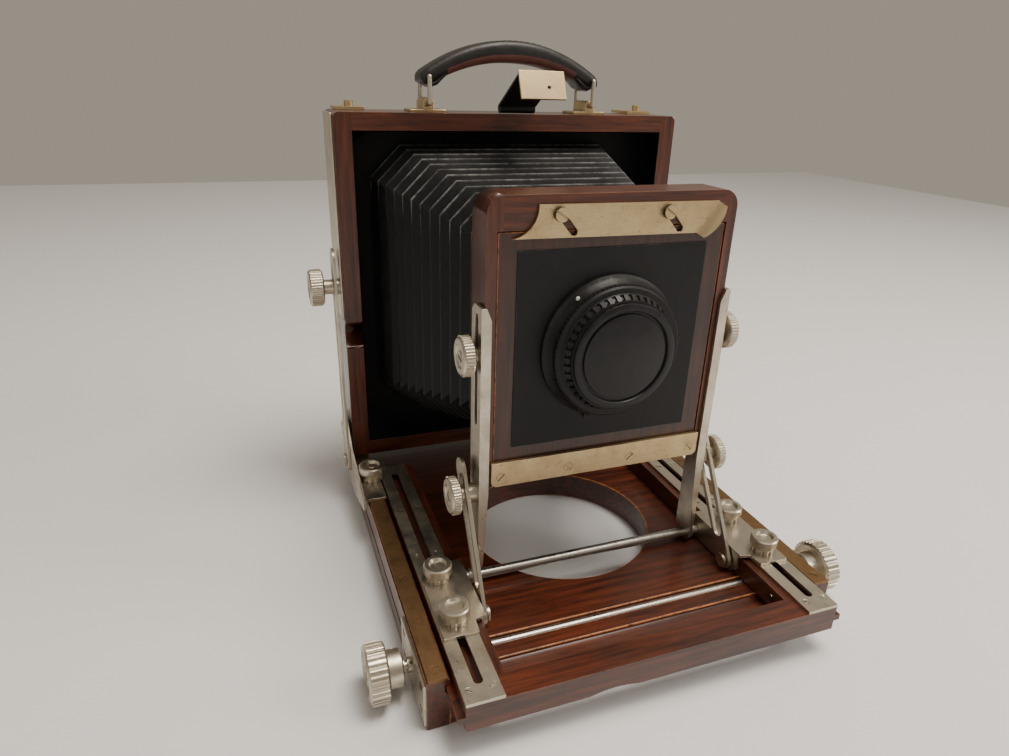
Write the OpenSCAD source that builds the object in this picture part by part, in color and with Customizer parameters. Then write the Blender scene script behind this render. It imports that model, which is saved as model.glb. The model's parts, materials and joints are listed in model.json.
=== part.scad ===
// Wooden flat-bed field camera with a pleated bellows, for 4 x 5 inch sheet film.
// X runs to the right seen from the front, Y to the back, Z up.
// The origin is the centre of the round opening in the base, on the base's underside.

/* [Base] */
// Width across the two fixed side rails
base_w = 179.2; // [174:0.2:184]
// Distance from the round opening's centre to the front end of the base
base_front = 89; // [85:0.5:92]
// Distance from the round opening's centre to the back end of the base
base_back = 108; // [106:0.5:112]
// Thickness of the base panel
panel_t = 14; // [13.8:0.1:14.1]
// Radius of the round opening in the base panel
opening_r = 45; // [40:0.5:48]
// Thickness of each fixed side rail
rail_t = 8.4; // [8:0.1:9]
// Height of the fixed side rails
rail_h = 22.2; // [21.5:0.1:22.4]

/* [Focus drive] */
// Height of the pinion shaft
shaft_z = 12; // [11.9:0.05:12.1]
// Distance of the pinion shaft in front of the opening's centre
shaft_y = 68; // [66:0.5:70]
// Radius of the pinion shaft
shaft_r = 1.9; // [1.8:0.05:1.95]
// Teeth on each pinion
pinion_teeth = 10; // [10:1:10]
// Gear module of pinions and racks
gear_module = 0.8; // [0.8:0.1:0.8]
// Radius of the focusing knobs
focus_knob_r = 11.8; // [10:0.1:11.9]

/* [Moving bed] */
// Distance of the bed's front edge from the opening's centre
bed_front = 104; // [102:0.5:106]
// Distance of the bed's back ends from the opening's centre
bed_back = 60; // [50:1:70]
// Inner half-width between the two bed rails
bed_in = 61.6; // [61.5:0.1:61.8]
// Outer half-width of the bed
bed_out = 79.6; // [79.4:0.1:79.8]
// Height of the bed's wooden top
bed_top = 23.5; // [23.4:0.1:23.6]

/* [Front standard] */
// Outer width of the wooden lens frame
frame_w = 104.8; // [104:0.1:105]
// Height of the bottom edge of the lens frame above the ground
frame_low = 64.8; // [62:0.2:66]
// Height of the top edge of the lens frame
frame_high = 182; // [180:0.5:184]
// Front face of the lens frame, in front of the opening's centre
frame_front = 36.2; // [36.2:0.1:36.2]
// Thickness of the lens frame
frame_t = 16.7; // [16:0.1:17]
// Side of the square lens board, across
board_w = 96; // [95.5:0.1:96.2]
// Height of the lens board
board_h = 99; // [98:0.1:99]
// Height of the lens axis
lens_z = 121.8; // [121:0.1:122.5]
// Height of the pivot rod at the foot of the uprights
rod_z = 18; // [18:0.1:18.4]

/* [Lens] */
// Radius of the shutter housing
shutter_r = 29.7; // [28:0.1:31]
// Outer radius of the push-on lens cap
cap_r = 24.2; // [23.8:0.1:25]

/* [Rear standard] */
// Width and height of the square rear frame
rear_w = 180; // [179.6:0.1:180]
// Front face of the rear frame, behind the opening's centre
rear_y = 74; // [73:0.5:75]
// Depth of the rear frame
rear_t = 32; // [31.5:0.1:32]
// Height of the top of the rear frame
rear_top = 203.6; // [202:0.2:205]
// Thickness of the rear frame's walls
rear_wall = 8.5; // [8:0.1:9]

/* [Handle and catch] */
// Distance of each handle ring from the middle
ring_x = 43; // [40:0.5:46]
// Rise of the leather handle's arch above its rings
arch_h = 14.5; // [10:0.5:18]

/* [Hidden] */
$fn = 48;
e = 0.01;
fit = 0.05;
gap = 0.3;

wood = [0.32, 0.12, 0.06];
nickel = [0.72, 0.69, 0.60];
brass = [0.78, 0.66, 0.42];
black = [0.04, 0.04, 0.045];
glass = [0.7, 0.8, 0.82, 0.4];

rail_out = base_w / 2;
rail_in = rail_out - rail_t;
strip_t = 1;
strip_top = rail_h + strip_t;
bearing_t = 1;
tongue_low = 16.4;
tongue_high = 19;
rebate_back = 77.5;
bar_low = 12.2;
bar_back = 93.5;
bed_low = panel_t + gap;

// gear pair: the racks hang above the pinions
pitch_r = gear_module * pinion_teeth / 2;
tooth_up = 0.6;
tooth_down = 0.9;
pinion_x = 71;
pinion_w = 8;
rack_top = shaft_z + pitch_r + tooth_down + 1.3;
rack_x = [pinion_x - 4.5, pinion_x + 4.5];

// slotted track on the bed
track_t = 1.3;
track_top = bed_top + track_t;
track_x = 72.4;
track_w = 14.4;
slot_w = 3.5;
slot_front = 96.5;
slot_back = 52;
stud_r = 1.6;

// feet of the front standard
foot_t = 1.3;
foot_low = track_top + 0.1;
foot_top = foot_low + foot_t;
lug_in = 59.9;
lug_out = 61.2;
lug_low = 14.5;
nut_y = [-65.2, -39.5];
nut_r = 6;
nut_h = 7.4;

// uprights, struts and their pivots
rod_y = -32.5;
rod_r = 2.2;
upright_in = 52.8;
upright_t = 1.5;
upright_out = upright_in + upright_t;
upright_front = -38;
upright_back = -26;
upright_high = 141.7;
flange_in = 50.2;
strut_in = 57.7;
strut_t = 1.5;
strut_foot = [-58, 19];
tilt_knob_at = [-32, 60.5];
strut_dy = tilt_knob_at[0] - strut_foot[0];
strut_dz = tilt_knob_at[1] - strut_foot[1];
strut_lean = atan2(strut_dy, strut_dz);
strut_len = 59;
strut_slot = [13, 55];
small_screw_r = 1.9;
rise_y = -32;
rise_screw_r = 1.7;
knob_r = 8.1;

// lens frame and board
board_low = 70;
board_front = frame_front - 0.3;
board_t = 4.2;
panel_half = 40.3;
frame_back = frame_front - frame_t;
lock_points_z = [166.6, 165.9, 178, 178.6];
lock_t = 1.2;
lock_screws = [[-24.8, 175], [20.2, 174.6]];
lock_slot = [5.7, -6.6];
bar_screw_x = [-44.8, -14.8, 14.8, 44.8];

// rear standard
rear_low = 26;
rear_back = rear_y + rear_t;
bracket_in = 91;
bracket_t = 1.4;
bracket_out = bracket_in + bracket_t;
hinge_at = [90, 36];
arm_foot = [75, 24];
arm_knob_at = [81, 120.6];
arm_lean = atan2(arm_knob_at[0] - arm_foot[0], arm_knob_at[1] - arm_foot[1]);
arm_in = 92.6;
arm_t = 1.4;
arm_len = 110;
clamp_x = 84.2;
clamp_y = 50;
back_z = 114.8;

// handle and catch
ring_wire = 1.1;
ring_low = 207.6;
ring_high = 219.4;
ring_y = [79.6, 99.6];
catch_y = 76;
catch_z = 206;
catch_lean = 28.4;

module both_sides() {
    children();
    mirror([1, 0, 0]) children();
}

// a cylinder along X between two positions
module rod_x(x0, x1, r, y, z) {
    translate([x0, y, z]) rotate([0, 90, 0]) cylinder(r = r, h = x1 - x0);
}

// a cylinder along Y between two positions
module rod_y(y0, y1, r, x, z) {
    translate([x, y1, z]) rotate([90, 0, 0]) cylinder(r = r, h = y1 - y0);
}

module box(x, y, z) {
    translate([x[0], y[0], z[0]]) cube([x[1] - x[0], y[1] - y[0], z[1] - z[0]]);
}

// a plate in the plane of Y and Z, drawn as an outline [y, z] and given a thickness along X
module side_plate(x0, t) {
    translate([x0, 0, 0]) rotate([90, 0, 90]) linear_extrude(height = t) children();
}

// a plate in the plane of X and Z, drawn as an outline [x, z], its front face at y
module face_plate(y, t) {
    translate([0, y + t, 0]) rotate([90, 0, 0]) linear_extrude(height = t) children();
}

// a straight slot between two points of a flat outline
module slot_2d(a, b, w) {
    d = b - a;
    len = norm(d);
    translate(a) rotate(atan2(d[1], d[0])) union() {
        circle(d = w);
        translate([len, 0]) circle(d = w);
        translate([0, -w / 2]) square([len, w]);
    }
}

// countersunk screw standing upright, the top of its head at the origin
module flat_screw(head_r, r, len) {
    difference() {
        union() {
            translate([0, 0, -0.8]) cylinder(r = head_r, h = 0.8);
            translate([0, 0, -len]) cylinder(r = r, h = len - 0.8 + e);
        }
        translate([-head_r - 1, -0.25, -0.4]) cube([2 * head_r + 2, 0.5, 1]);
    }
}

module flat_screw_hole(head_r, r, len) {
    translate([0, 0, -0.8 - fit]) cylinder(r = head_r + fit, h = 2);
    translate([0, 0, -len - fit]) cylinder(r = r + fit, h = len);
}

// ---- base ----

strip_screw_y = [-84, -58, -32, -6, 20, 46, 72, 98];
bearing_screw_at = [[-84, 17], [-84, 6], [-56, 17], [-56, 6]];
tripod_y = 66;
tripod_r = 3.97;
tripod_screws = [[-16, tripod_y - 8], [16, tripod_y - 8], [-16, tripod_y + 8], [16, tripod_y + 8]];

module base_panel() {
    color(wood) difference() {
        box([-rail_in, rail_in], [-base_front, base_back], [0, panel_t]);
        translate([0, 0, -1]) cylinder(r = opening_r, h = panel_t + 2, $fn = 96);
        box([-rail_in - 1, rail_in + 1], [-base_front - 1, -rebate_back], [bar_low - gap, panel_t + 1]);
        box([-rail_in - 1, rail_in + 1], [-shaft_y - 2.2, -shaft_y + 2.2], [shaft_z - 2.3, panel_t + 1]);
        both_sides() box([pinion_x - 5, pinion_x + 5], [-shaft_y - 5.2, -shaft_y + 5.2],
            [shaft_z - 5.2, panel_t + 1]);
        box([-21 - fit, 21 + fit], [tripod_y - 13 - fit, tripod_y + 13 + fit], [-1, 2 + fit]);
        translate([0, tripod_y, -1]) cylinder(r = 8 + fit, h = 11);
        for (p = tripod_screws) translate([p[0], p[1], 0]) mirror([0, 0, 1]) flat_screw_hole(2.2, 1.1, 7);
    }
}

module side_rail() {
    difference() {
        box([rail_in, rail_out], [-base_front, base_back], [0, rail_h]);
        box([rail_in - 1, rail_in + 1.6], [-base_front - 1, base_back + 1], [tongue_low - gap, tongue_high + gap]);
        box([rail_out - 2, rail_out + 1], [-48, base_back + 1], [9.7, 11.7]);
        rod_x(rail_in - 1, rail_out + 1, 3 + fit, -shaft_y, shaft_z);
        for (y = strip_screw_y) translate([rail_in + 4.2, y, strip_top]) flat_screw_hole(1.9, 1, 6);
        for (p = bearing_screw_at) translate([rail_out + bearing_t, p[0], p[1]]) rotate([0, 90, 0])
            flat_screw_hole(1.8, 0.9, 5);
    }
}

module side_rails() {
    color(wood) both_sides() side_rail();
}

module rail_strips() {
    color(brass) both_sides() difference() {
        box([rail_in + 0.6, rail_out - 0.6], [-base_front, base_back], [rail_h, strip_top]);
        for (y = strip_screw_y) translate([rail_in + 4.2, y, strip_top]) flat_screw_hole(1.9, 1, 6);
    }
}

module base_screws() {
    color(brass) both_sides() for (y = strip_screw_y) translate([rail_in + 4.2, y, strip_top])
        rotate([0, 0, y * 7]) flat_screw(1.9, 1, 6);
    color(nickel) both_sides() for (p = bearing_screw_at) translate([rail_out + bearing_t, p[0], p[1]])
        rotate([0, 90, 0]) rotate([0, 0, p[1] * 9]) flat_screw(1.8, 0.9, 5);
    color(nickel) for (p = tripod_screws) translate([p[0], p[1], 0]) mirror([0, 0, 1])
        rotate([0, 0, p[1] * 5]) flat_screw(2.2, 1.1, 7);
}

// nickel plate on the outside of each rail, with the shaft's bush pressed through it
module bearing_plates() {
    color(nickel) both_sides() difference() {
        union() {
            box([rail_out, rail_out + bearing_t], [-88.4, -51], [1.6, 20.6]);
            rod_x(rail_in + 0.4, rail_out + 2.6, 3, -shaft_y, shaft_z);
        }
        rod_x(rail_in - 1, rail_out + 4, shaft_r + fit, -shaft_y, shaft_z);
        for (p = bearing_screw_at) translate([rail_out + bearing_t, p[0], p[1]]) rotate([0, 90, 0])
            flat_screw_hole(1.8, 0.9, 5);
    }
}

module tripod_plate() {
    color(nickel) difference() {
        union() {
            box([-21, 21], [tripod_y - 13, tripod_y + 13], [0, 2]);
            translate([0, tripod_y, 0]) cylinder(r = 8, h = 9.8);
        }
        translate([0, tripod_y, -1]) cylinder(r = tripod_r, h = 9.6);
        for (p = tripod_screws) translate([p[0], p[1], 0]) mirror([0, 0, 1]) flat_screw_hole(2.2, 1.1, 7);
    }
}

// ---- focus drive ----

// straight-sided teeth with play, cut round a disc or along a bar
tooth_base = 0.62;
tooth_tip = 0.24;
root_r = pitch_r - tooth_down;

module pinion_2d() {
    circle(r = root_r);
    for (i = [0:pinion_teeth - 1]) rotate(i * 360 / pinion_teeth) polygon([
        [root_r - 0.3, -0.78], [pitch_r, -0.48], [pitch_r + tooth_up, -tooth_tip],
        [pitch_r + tooth_up, tooth_tip], [pitch_r, 0.48], [root_r - 0.3, 0.78]]);
}

module pinion_shaft() {
    color(nickel) {
        rod_x(-rail_out - 6, rail_out + 6, shaft_r, -shaft_y, shaft_z);
        both_sides() translate([pinion_x - pinion_w / 2, -shaft_y, shaft_z]) rotate([90, 0, 90])
            linear_extrude(height = pinion_w) pinion_2d();
    }
}

// ribbed wheel, hub and neck in one turned piece
module focus_knob() {
    color(nickel) difference() {
        translate([0, -shaft_y, shaft_z]) rotate([90, 0, 90]) rotate_extrude($fn = 72) polygon([
            [shaft_r, 93.4], [3.2, 93.4], [3.2, 94.2], [7.2, 94.2], [7.2, 100], [focus_knob_r - 0.8, 100],
            [focus_knob_r, 100.8], [focus_knob_r, 107.2], [focus_knob_r - 0.8, 108], [4, 108], [4, 107.2],
            [0, 107.2], [0, rail_out + 6.05], [shaft_r + 0.02, rail_out + 6.05]]);
        translate([97, -shaft_y, shaft_z]) rotate([50, 0, 0]) cylinder(r = 1.3, h = 10);
    }
}

module right_focus_knob() {
    focus_knob();
}

module left_focus_knob() {
    mirror([1, 0, 0]) focus_knob();
}

// ---- moving bed ----

track_screw_y = [-98.5, -21, 16, 55.5];
wall_screw_y = -86.5;

module bed_rail() {
    difference() {
        union() {
            box([bed_in, bed_out], [-bar_back, bed_back], [bed_low, bed_top]);
            box([bed_out - e, rail_in + 1.2], [-bar_back, bed_back], [tongue_low, tongue_high]);
        }
        box(rack_x, [-bar_back - 1, bed_back + 1], [bed_low - 1, rack_top]);
        box([track_x - 3.6, track_x + 3.6], [-slot_front + 1.5, slot_back + 1.5], [20, bed_top + 1]);
        track_screw_holes();
        wall_screw_hole();
    }
}

module track_screw_holes() {
    for (y = track_screw_y, dx = [-4.5, 4.5]) translate([track_x + dx, y, track_top])
        flat_screw_hole(1.5, 0.8, 4);
}

module wall_screw_hole() {
    translate([bed_in - 0.6, wall_screw_y, 19]) rotate([0, -90, 0]) flat_screw_hole(1.5, 0.9, 4);
}

module bed_frame() {
    color(wood) both_sides() bed_rail();
    color(wood) difference() {
        union() {
            box([-bed_out, bed_out], [-bed_front, -bar_back], [bar_low, bed_top]);
            both_sides() box([bed_out - e, rail_in + 1.2], [-bed_front, -bar_back], [tongue_low, tongue_high]);
        }
        both_sides() track_screw_holes();
        both_sides() box([track_x - 3.6, track_x + 3.6], [-slot_front + 1.5, 0], [20, bed_top + 1]);
        translate([-22, -bed_front, bar_low - 36.6]) rotate([90, 0, 0])
            cylinder(r = 38, h = 6, center = true, $fn = 96);
    }
}

module track_plates() {
    color(nickel) both_sides() difference() {
        box([track_x - track_w / 2, track_x + track_w / 2], [-bed_front, bed_back], [bed_top, track_top]);
        translate([0, 0, bed_top - 1]) linear_extrude(height = 4)
            slot_2d([track_x, -slot_front + slot_w / 2], [track_x, slot_back - slot_w / 2], slot_w);
        track_screw_holes();
    }
}

module track_screws() {
    color(nickel) both_sides() for (y = track_screw_y, dx = [-4.5, 4.5]) translate([track_x + dx, y, track_top])
        rotate([0, 0, y * 11 + dx * 8]) flat_screw(1.5, 0.8, 4);
    color(nickel) both_sides() translate([bed_in - 0.6, wall_screw_y, 19]) rotate([0, -90, 0])
        flat_screw(1.5, 0.9, 4);
}

rack_pitch = PI * gear_module;
rack_teeth = floor((bed_back + bar_back - 22) / rack_pitch);

module focus_racks() {
    pitch_z = shaft_z + pitch_r;
    color(brass) both_sides() side_plate(rack_x[0], rack_x[1] - rack_x[0]) difference() {
        translate([-bar_back + 4, pitch_z - tooth_up]) square([bar_back + bed_back - 8, rack_top - pitch_z + tooth_up]);
        for (i = [-rack_teeth:rack_teeth]) translate([-shaft_y + (i + 0.5) * rack_pitch, pitch_z])
            polygon([[-0.98, -2], [-0.98, -tooth_up - e], [-0.74, 0], [-0.5, tooth_down], [0.5, tooth_down],
                [0.74, 0], [0.98, -tooth_up - e], [0.98, -2]]);
    }
}

// ---- feet of the front standard ----

module foot_bracket() {
    difference() {
        union() {
            translate([0, 0, foot_low]) linear_extrude(height = foot_t) polygon([
                [lug_in, -30], [lug_in, -66], [64.6, -67.5], [65, -74], [79, -74], [79, -32], [77, -30]]);
            side_plate(lug_in, lug_out - lug_in) polygon([
                [-65, foot_top], [-65, 18], [-61.5, lug_low], [-27.5, lug_low], [-25.5, 16.5], [-25.5, 21],
                [-30, foot_top]]);
        }
        for (y = nut_y) translate([track_x, y, foot_low - 1]) cylinder(r = stud_r + fit, h = 4);
        rod_x(lug_in - 1, lug_out + 1, rod_r + fit, rod_y, rod_z);
        rod_x(lug_in - 1, lug_out + 1, small_screw_r + fit, strut_foot[0], strut_foot[1]);
    }
}

module foot_brackets() {
    color(nickel) both_sides() foot_bracket();
}

// T-headed studs of the four clamps, and the pivot screws of the two struts
module foot_studs() {
    color(nickel) both_sides() for (y = nut_y) {
        box([track_x - 3.2, track_x + 3.2], [y - 5, y + 5], [20.4, 23.2]);
        translate([track_x, y, 23.2 - e]) cylinder(r = stud_r, h = 9.2);
    }
    color(nickel) both_sides() {
        rod_x(56.9, lug_out, small_screw_r, strut_foot[0], strut_foot[1]);
        rod_x(56, 57, 3.1, strut_foot[0], strut_foot[1]);
    }
}

// turned thumb nut with a scalloped waist and a dished top
module thumb_nut(x, y, z, r, h, hole) {
    translate([x, y, z]) difference() {
        rotate_extrude() polygon([
            [hole, 0], [r * 0.82, 0], [r * 0.82, h * 0.34], [r - 0.5, h * 0.42], [r, h * 0.5], [r, h - 0.6],
            [r - 0.6, h], [r * 0.64, h], [r * 0.5, h - 1.2], [hole, h - 1.2]]);
        for (i = [0:7]) rotate(i * 45) translate([r * 0.97, 0, -1]) cylinder(r = r * 0.26, h = h * 0.29 + 1);
    }
}

module left_front_nut() {
    color(nickel) thumb_nut(-track_x, nut_y[0], foot_top + fit, nut_r, nut_h, stud_r + fit);
}

module left_back_nut() {
    color(nickel) thumb_nut(-track_x, nut_y[1], foot_top + fit, nut_r, nut_h, stud_r + fit);
}

module right_front_nut() {
    color(nickel) thumb_nut(track_x, nut_y[0], foot_top + fit, nut_r, nut_h, stud_r + fit);
}

module right_back_nut() {
    color(nickel) thumb_nut(track_x, nut_y[1], foot_top + fit, nut_r, nut_h, stud_r + fit);
}

// ---- uprights, struts and rod ----

module strut() {
    difference() {
        side_plate(strut_in, strut_t) translate(strut_foot) rotate(-strut_lean) hull() {
            circle(r = 4.2, $fn = 32);
            translate([0, strut_len]) circle(r = 5.2, $fn = 32);
        }
        side_plate(strut_in - 1, strut_t + 2) translate(strut_foot) rotate(-strut_lean)
            slot_2d([0, strut_slot[0]], [0, strut_slot[1]], 5);
        rod_x(strut_in - 1, strut_in + strut_t + 1, small_screw_r + fit, strut_foot[0], strut_foot[1]);
    }
}

module front_struts() {
    color(nickel) both_sides() strut();
}

// side plate with its rise slot, and a flange folded round the front of the lens frame
module upright() {
    difference() {
        union() {
            side_plate(upright_in, upright_t) polygon([
                [upright_front, 18.5], [rod_y - 2.9, 15.4], [rod_y - 1.3, 14.5], [rod_y + 1.3, 14.5],
                [rod_y + 2.9, 15.4], [upright_back, 18.5],
                [upright_back, upright_high - 3], [upright_back - 3, upright_high],
                [upright_front, upright_high]]);
            face_plate(upright_front, upright_t) polygon([
                [upright_out, 24], [upright_out - 2.2, 26], [flange_in, 62], [flange_in, upright_high - 5],
                [flange_in + 2, upright_high], [upright_out, upright_high]]);
            rod_x(upright_out - e, strut_in - 0.2, 4, tilt_knob_at[0], tilt_knob_at[1]);
        }
        side_plate(upright_in - 1, upright_t + 2) slot_2d([rise_y, 94], [rise_y, 136.5], 3.8);
        rod_x(upright_in - 1, strut_in + 1, small_screw_r + fit, tilt_knob_at[0], tilt_knob_at[1]);
        rod_x(upright_in - 1, upright_out + 1, rod_r + fit, rod_y, rod_z);
    }
}

module uprights() {
    color(nickel) both_sides() upright();
}

// rod between the two feet, with a turned collar outside each upright
module tilt_rod() {
    color(nickel) {
        rod_x(-lug_out, lug_out, rod_r, rod_y, rod_z);
        both_sides() rod_x(upright_out + 0.1, upright_out + 2.4, 3.3, rod_y, rod_z);
        both_sides() rod_x(upright_out + 2.4 - e, lug_in - 0.1, 2.8, rod_y, rod_z);
    }
}

// flat round lock knob on a screw that points inwards
module lock_knob(y, z, x_tip, x_shoulder, x_disc, x_end, screw_r, r) {
    translate([0, y, z]) rotate([90, 0, 90]) rotate_extrude() polygon([
        [0, x_tip], [screw_r, x_tip], [screw_r, x_shoulder], [r * 0.44, x_shoulder], [r * 0.44, x_disc],
        [r - 0.6, x_disc], [r, x_disc + 0.6], [r, x_end - 0.7], [r - 0.7, x_end], [r * 0.3, x_end - 0.3],
        [0, x_end - 0.3]]);
}

module right_tilt_knob() {
    color(nickel) lock_knob(tilt_knob_at[0], tilt_knob_at[1], upright_in + 0.2, strut_in + strut_t + 0.1, 61.2,
        65.8, small_screw_r, knob_r);
}

module left_tilt_knob() {
    mirror([1, 0, 0]) right_tilt_knob();
}

module right_rise_knob() {
    color(nickel) lock_knob(rise_y, lens_z, board_w / 2 + 0.6, upright_out + 0.1, 56.2, 61.2, rise_screw_r, knob_r);
}

module left_rise_knob() {
    mirror([1, 0, 0]) right_rise_knob();
}

// ---- lens frame ----

module front_screw_holes() {
    for (x = bar_screw_x) translate([x, -frame_front - 1.6, 69]) rotate([90, 0, 0]) flat_screw_hole(2, 1, 6);
    for (p = lock_screws) rod_y(-frame_front - 1, -29, 1.3 + fit, p[0], p[1]);
}

module lens_frame() {
    half = frame_w / 2;
    corner = 7;
    color(wood) difference() {
        face_plate(-frame_front, frame_t) union() {
            translate([-half, frame_low]) square([frame_w, frame_high - frame_low - corner]);
            translate([-half + corner, frame_low]) square([frame_w - 2 * corner, frame_high - frame_low]);
            for (s = [-1, 1]) translate([s * (half - corner), frame_high - corner]) circle(r = corner);
        }
        box([-board_w / 2 - 0.3, board_w / 2 + 0.3], [-frame_front - 1, -board_front + board_t + 0.1],
            [board_low - 0.3, board_low + board_h + 0.4]);
        box([-41, 41], [-frame_front - 1, 0], [80.5, 163.5]);
        both_sides() rod_x(board_w / 2, half + 1, rise_screw_r + fit, rise_y, lens_z);
        front_screw_holes();
    }
}

module bottom_bar() {
    color(brass) difference() {
        face_plate(-frame_front - 1.6, 1.6) union() {
            translate([-49, frame_low + 2.6]) square([98, 8.4]);
            translate([-46.4, frame_low]) square([92.8, 11]);
            for (s = [-1, 1]) translate([s * 46.4, frame_low + 2.6]) circle(r = 2.6);
        }
        for (x = bar_screw_x) translate([x, -frame_front - 1.6, 69]) rotate([90, 0, 0]) flat_screw_hole(2, 1, 6);
    }
}

module front_screws() {
    color(brass) for (x = bar_screw_x) translate([x, -frame_front - 1.6, 69]) rotate([90, 0, 0])
        rotate([0, 0, x * 3]) flat_screw(2, 1, 6);
    color(brass) for (p = lock_screws) difference() {
        union() {
            rod_y(-frame_front - 2.6 - e, -29.2, 1.3, p[0], p[1]);
            rod_y(-frame_front - 3.2, -frame_front - 1.7, 2.7, p[0], p[1]);
        }
        translate([p[0], -frame_front - 3.2, p[1]]) rotate([0, 35, 0]) cube([7, 1.2, 0.6], center = true);
    }
}

module lens_board() {
    color(wood) difference() {
        box([-board_w / 2, board_w / 2], [-board_front, -board_front + board_t], [board_low, board_low + board_h]);
        rod_y(-board_front - 1, -board_front + board_t + 1, 17.3, 0, lens_z);
    }
}

module board_panel() {
    color(black) difference() {
        box([-panel_half, panel_half], [-board_front - 0.5, -board_front], [lens_z - panel_half, lens_z + panel_half]);
        rod_y(-board_front - 1, -board_front + 1, 17.3, 0, lens_z);
    }
}

// a turned piece round the lens axis, drawn as [radius, distance in front of the opening's centre]
module turned() {
    translate([0, 0, lens_z]) rotate([90, 0, 0]) rotate_extrude($fn = 96) children();
}

shutter_back = board_front + 0.6;

module shutter_body() {
    color(black) difference() {
        turned() polygon([
            [15, 24], [17.2, 24], [17.2, shutter_back], [shutter_r, shutter_back], [shutter_r, 38.5],
            [shutter_r - 1.6, 39.8], [26.6, 42.6], [20, 42.6], [20, 38.2], [15, 38.2]]);
        lever_slots();
    }
}

lever_turn = [0, -52, -104];

// three short slots in the rim, where the levers come out
module lever_slots() {
    for (a = lever_turn) translate([0, 0, lens_z]) rotate([0, -a, 0])
        box([23, 40], [-38.1, -37.1], [-9.5, 9.5]);
}

module lens_cells() {
    color(black) turned() polygon([
        [15.2, 38.3], [19.95, 38.3], [19.95, 42.7], [22.4, 42.7], [22.4, 49.7], [20.8, 49.7], [18.4, 46.6],
        [17.2, 46.6], [17.2, 43.5], [15.2, 43.5]]);
    color(black) turned() polygon([
        [12.8, 31], [14.95, 31], [14.95, 23.9], [17.6, 23.9], [17.6, 15], [16, 15], [14.6, 18], [14.6, 22],
        [12.8, 22]]);
}

// front and rear glass, each a disc with a rounded outer face
module lens_elements() {
    color(glass) turned() union() {
        polygon(concat([[0, 43.6], [17.1, 43.6], [17.1, 45]],
            [for (i = [1:8]) let (r = 17.1 * (8 - i) / 8) [r, 45 + 2.6 * (1 - pow(r / 17.1, 2))]]));
    }
    color(glass) turned() polygon(concat([[0, 21.9], [14.5, 21.9], [14.5, 20]],
        [for (i = [1:8]) let (r = 14.5 * (8 - i) / 8) [r, 20 - 1.8 * (1 - pow(r / 14.5, 2))]]));
}

module retaining_ring() {
    color(black) turned() polygon([[17.25, 29], [21.5, 29], [21.5, 31.5], [17.25, 31.5]]);
}

// sliding plate that holds the board's top edge, with a curled finger lip at its right end
module lock_plate() {
    bulge = 7;
    color(brass) difference() {
        union() {
            face_plate(-frame_front - 0.2 - lock_t, lock_t) difference() {
                polygon([[-42.8, lock_points_z[0]], [33.3, lock_points_z[1]], [42.7, lock_points_z[2]],
                    [-33.1, lock_points_z[3]]]);
                translate([-44.5, 177.8]) circle(r = 11.3);
            }
            translate([38, -frame_front - 0.2 - lock_t, 172]) rotate([0, 37.8, 0]) rotate([0, 0, -38])
                translate([-0.4, 0, 0]) rotate([90, 0, 0]) mirror([0, 0, 1]) linear_extrude(height = lock_t)
                intersection() {
                    translate([-bulge - 3, 0]) circle(r = 16);
                    translate([0, -7.4]) square([20, 14.8]);
                }
        }
        for (p = lock_screws) face_plate(-frame_front - 3, 4) slot_2d(p, p + lock_slot, 3);
    }
}

// push-on cap: ribbed rim round a flat, sunk disc
module lens_cap() {
    color(black) turned() polygon([
        [22.55, 44.6], [cap_r - 0.4, 44.6], [cap_r, 45], [cap_r, 50.2], [cap_r - 0.7, 50.9], [20.2, 50.9],
        [19.6, 50.3], [18.9, 50.3], [18.4, 50.7], [0, 50.7], [0, 49.85], [22.55, 49.85]]);
}

// a flat lever in the shutter, its tip outside the rim
module shutter_lever(turn, reach) {
    color(black) translate([0, 0, lens_z]) rotate([0, -turn, 0]) difference() {
        box([24.6, reach], [-37.95, -37.25], [-1.6, 1.6]);
        box([reach - 2.4, reach - 1.6], [-39, -36], [-0.3, 0.3]);
    }
}

module cocking_lever() {
    shutter_lever(lever_turn[0], 32.6);
}

module release_lever() {
    shutter_lever(lever_turn[1], 32);
}

module aperture_lever() {
    shutter_lever(lever_turn[2], 32);
}

// ---- bellows ----

// outline of the bellows at one station: half-width, bottom, top and chamfer
module bellows_ring(y, half, low, high, cut) {
    face_plate(y, 0.2) polygon([
        [-half, low + cut], [-half + cut, low], [half - cut, low], [half, low + cut], [half, high - cut],
        [half - cut, high], [-half + cut, high], [-half, high - cut]]);
}

module bellows_solid(inset) {
    hull() {
        bellows_ring(-frame_back + 0.35 - e * inset, 43.5 - inset, 76 + inset, 171.5 - inset, 9);
        bellows_ring(97.4 + e * inset, 77 - inset, 37.5 + inset, 192 - inset, 12.5);
    }
}

module bellows() {
    color(black) difference() {
        bellows_solid(0);
        bellows_solid(4);
    }
}

// ---- rear standard ----

module rear_bracket() {
    difference() {
        union() {
            side_plate(bracket_in, bracket_t) polygon([
                [28, 24.9], [28, 20], [62, 9.9], [98, 9.9], [100, 12], [100, 41], [97, 44], [83, 44],
                [80, 41], [70, 33]]);
            box([80.4, bracket_in + e], [30, 66], [strip_top + 0.2, strip_top + 1.6]);
            box([rail_out - 1.6, bracket_in + e], [64, 96], [10, 11.4]);
        }
        translate([clamp_x, clamp_y, strip_top - 1]) cylinder(r = 1.8 + fit, h = 5);
        rod_x(bracket_in - 1, bracket_out + 1, 2 + fit, hinge_at[0], hinge_at[1]);
        rod_x(bracket_in - 1, bracket_out + 1, 2 + fit, arm_foot[0], arm_foot[1]);
    }
}

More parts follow.
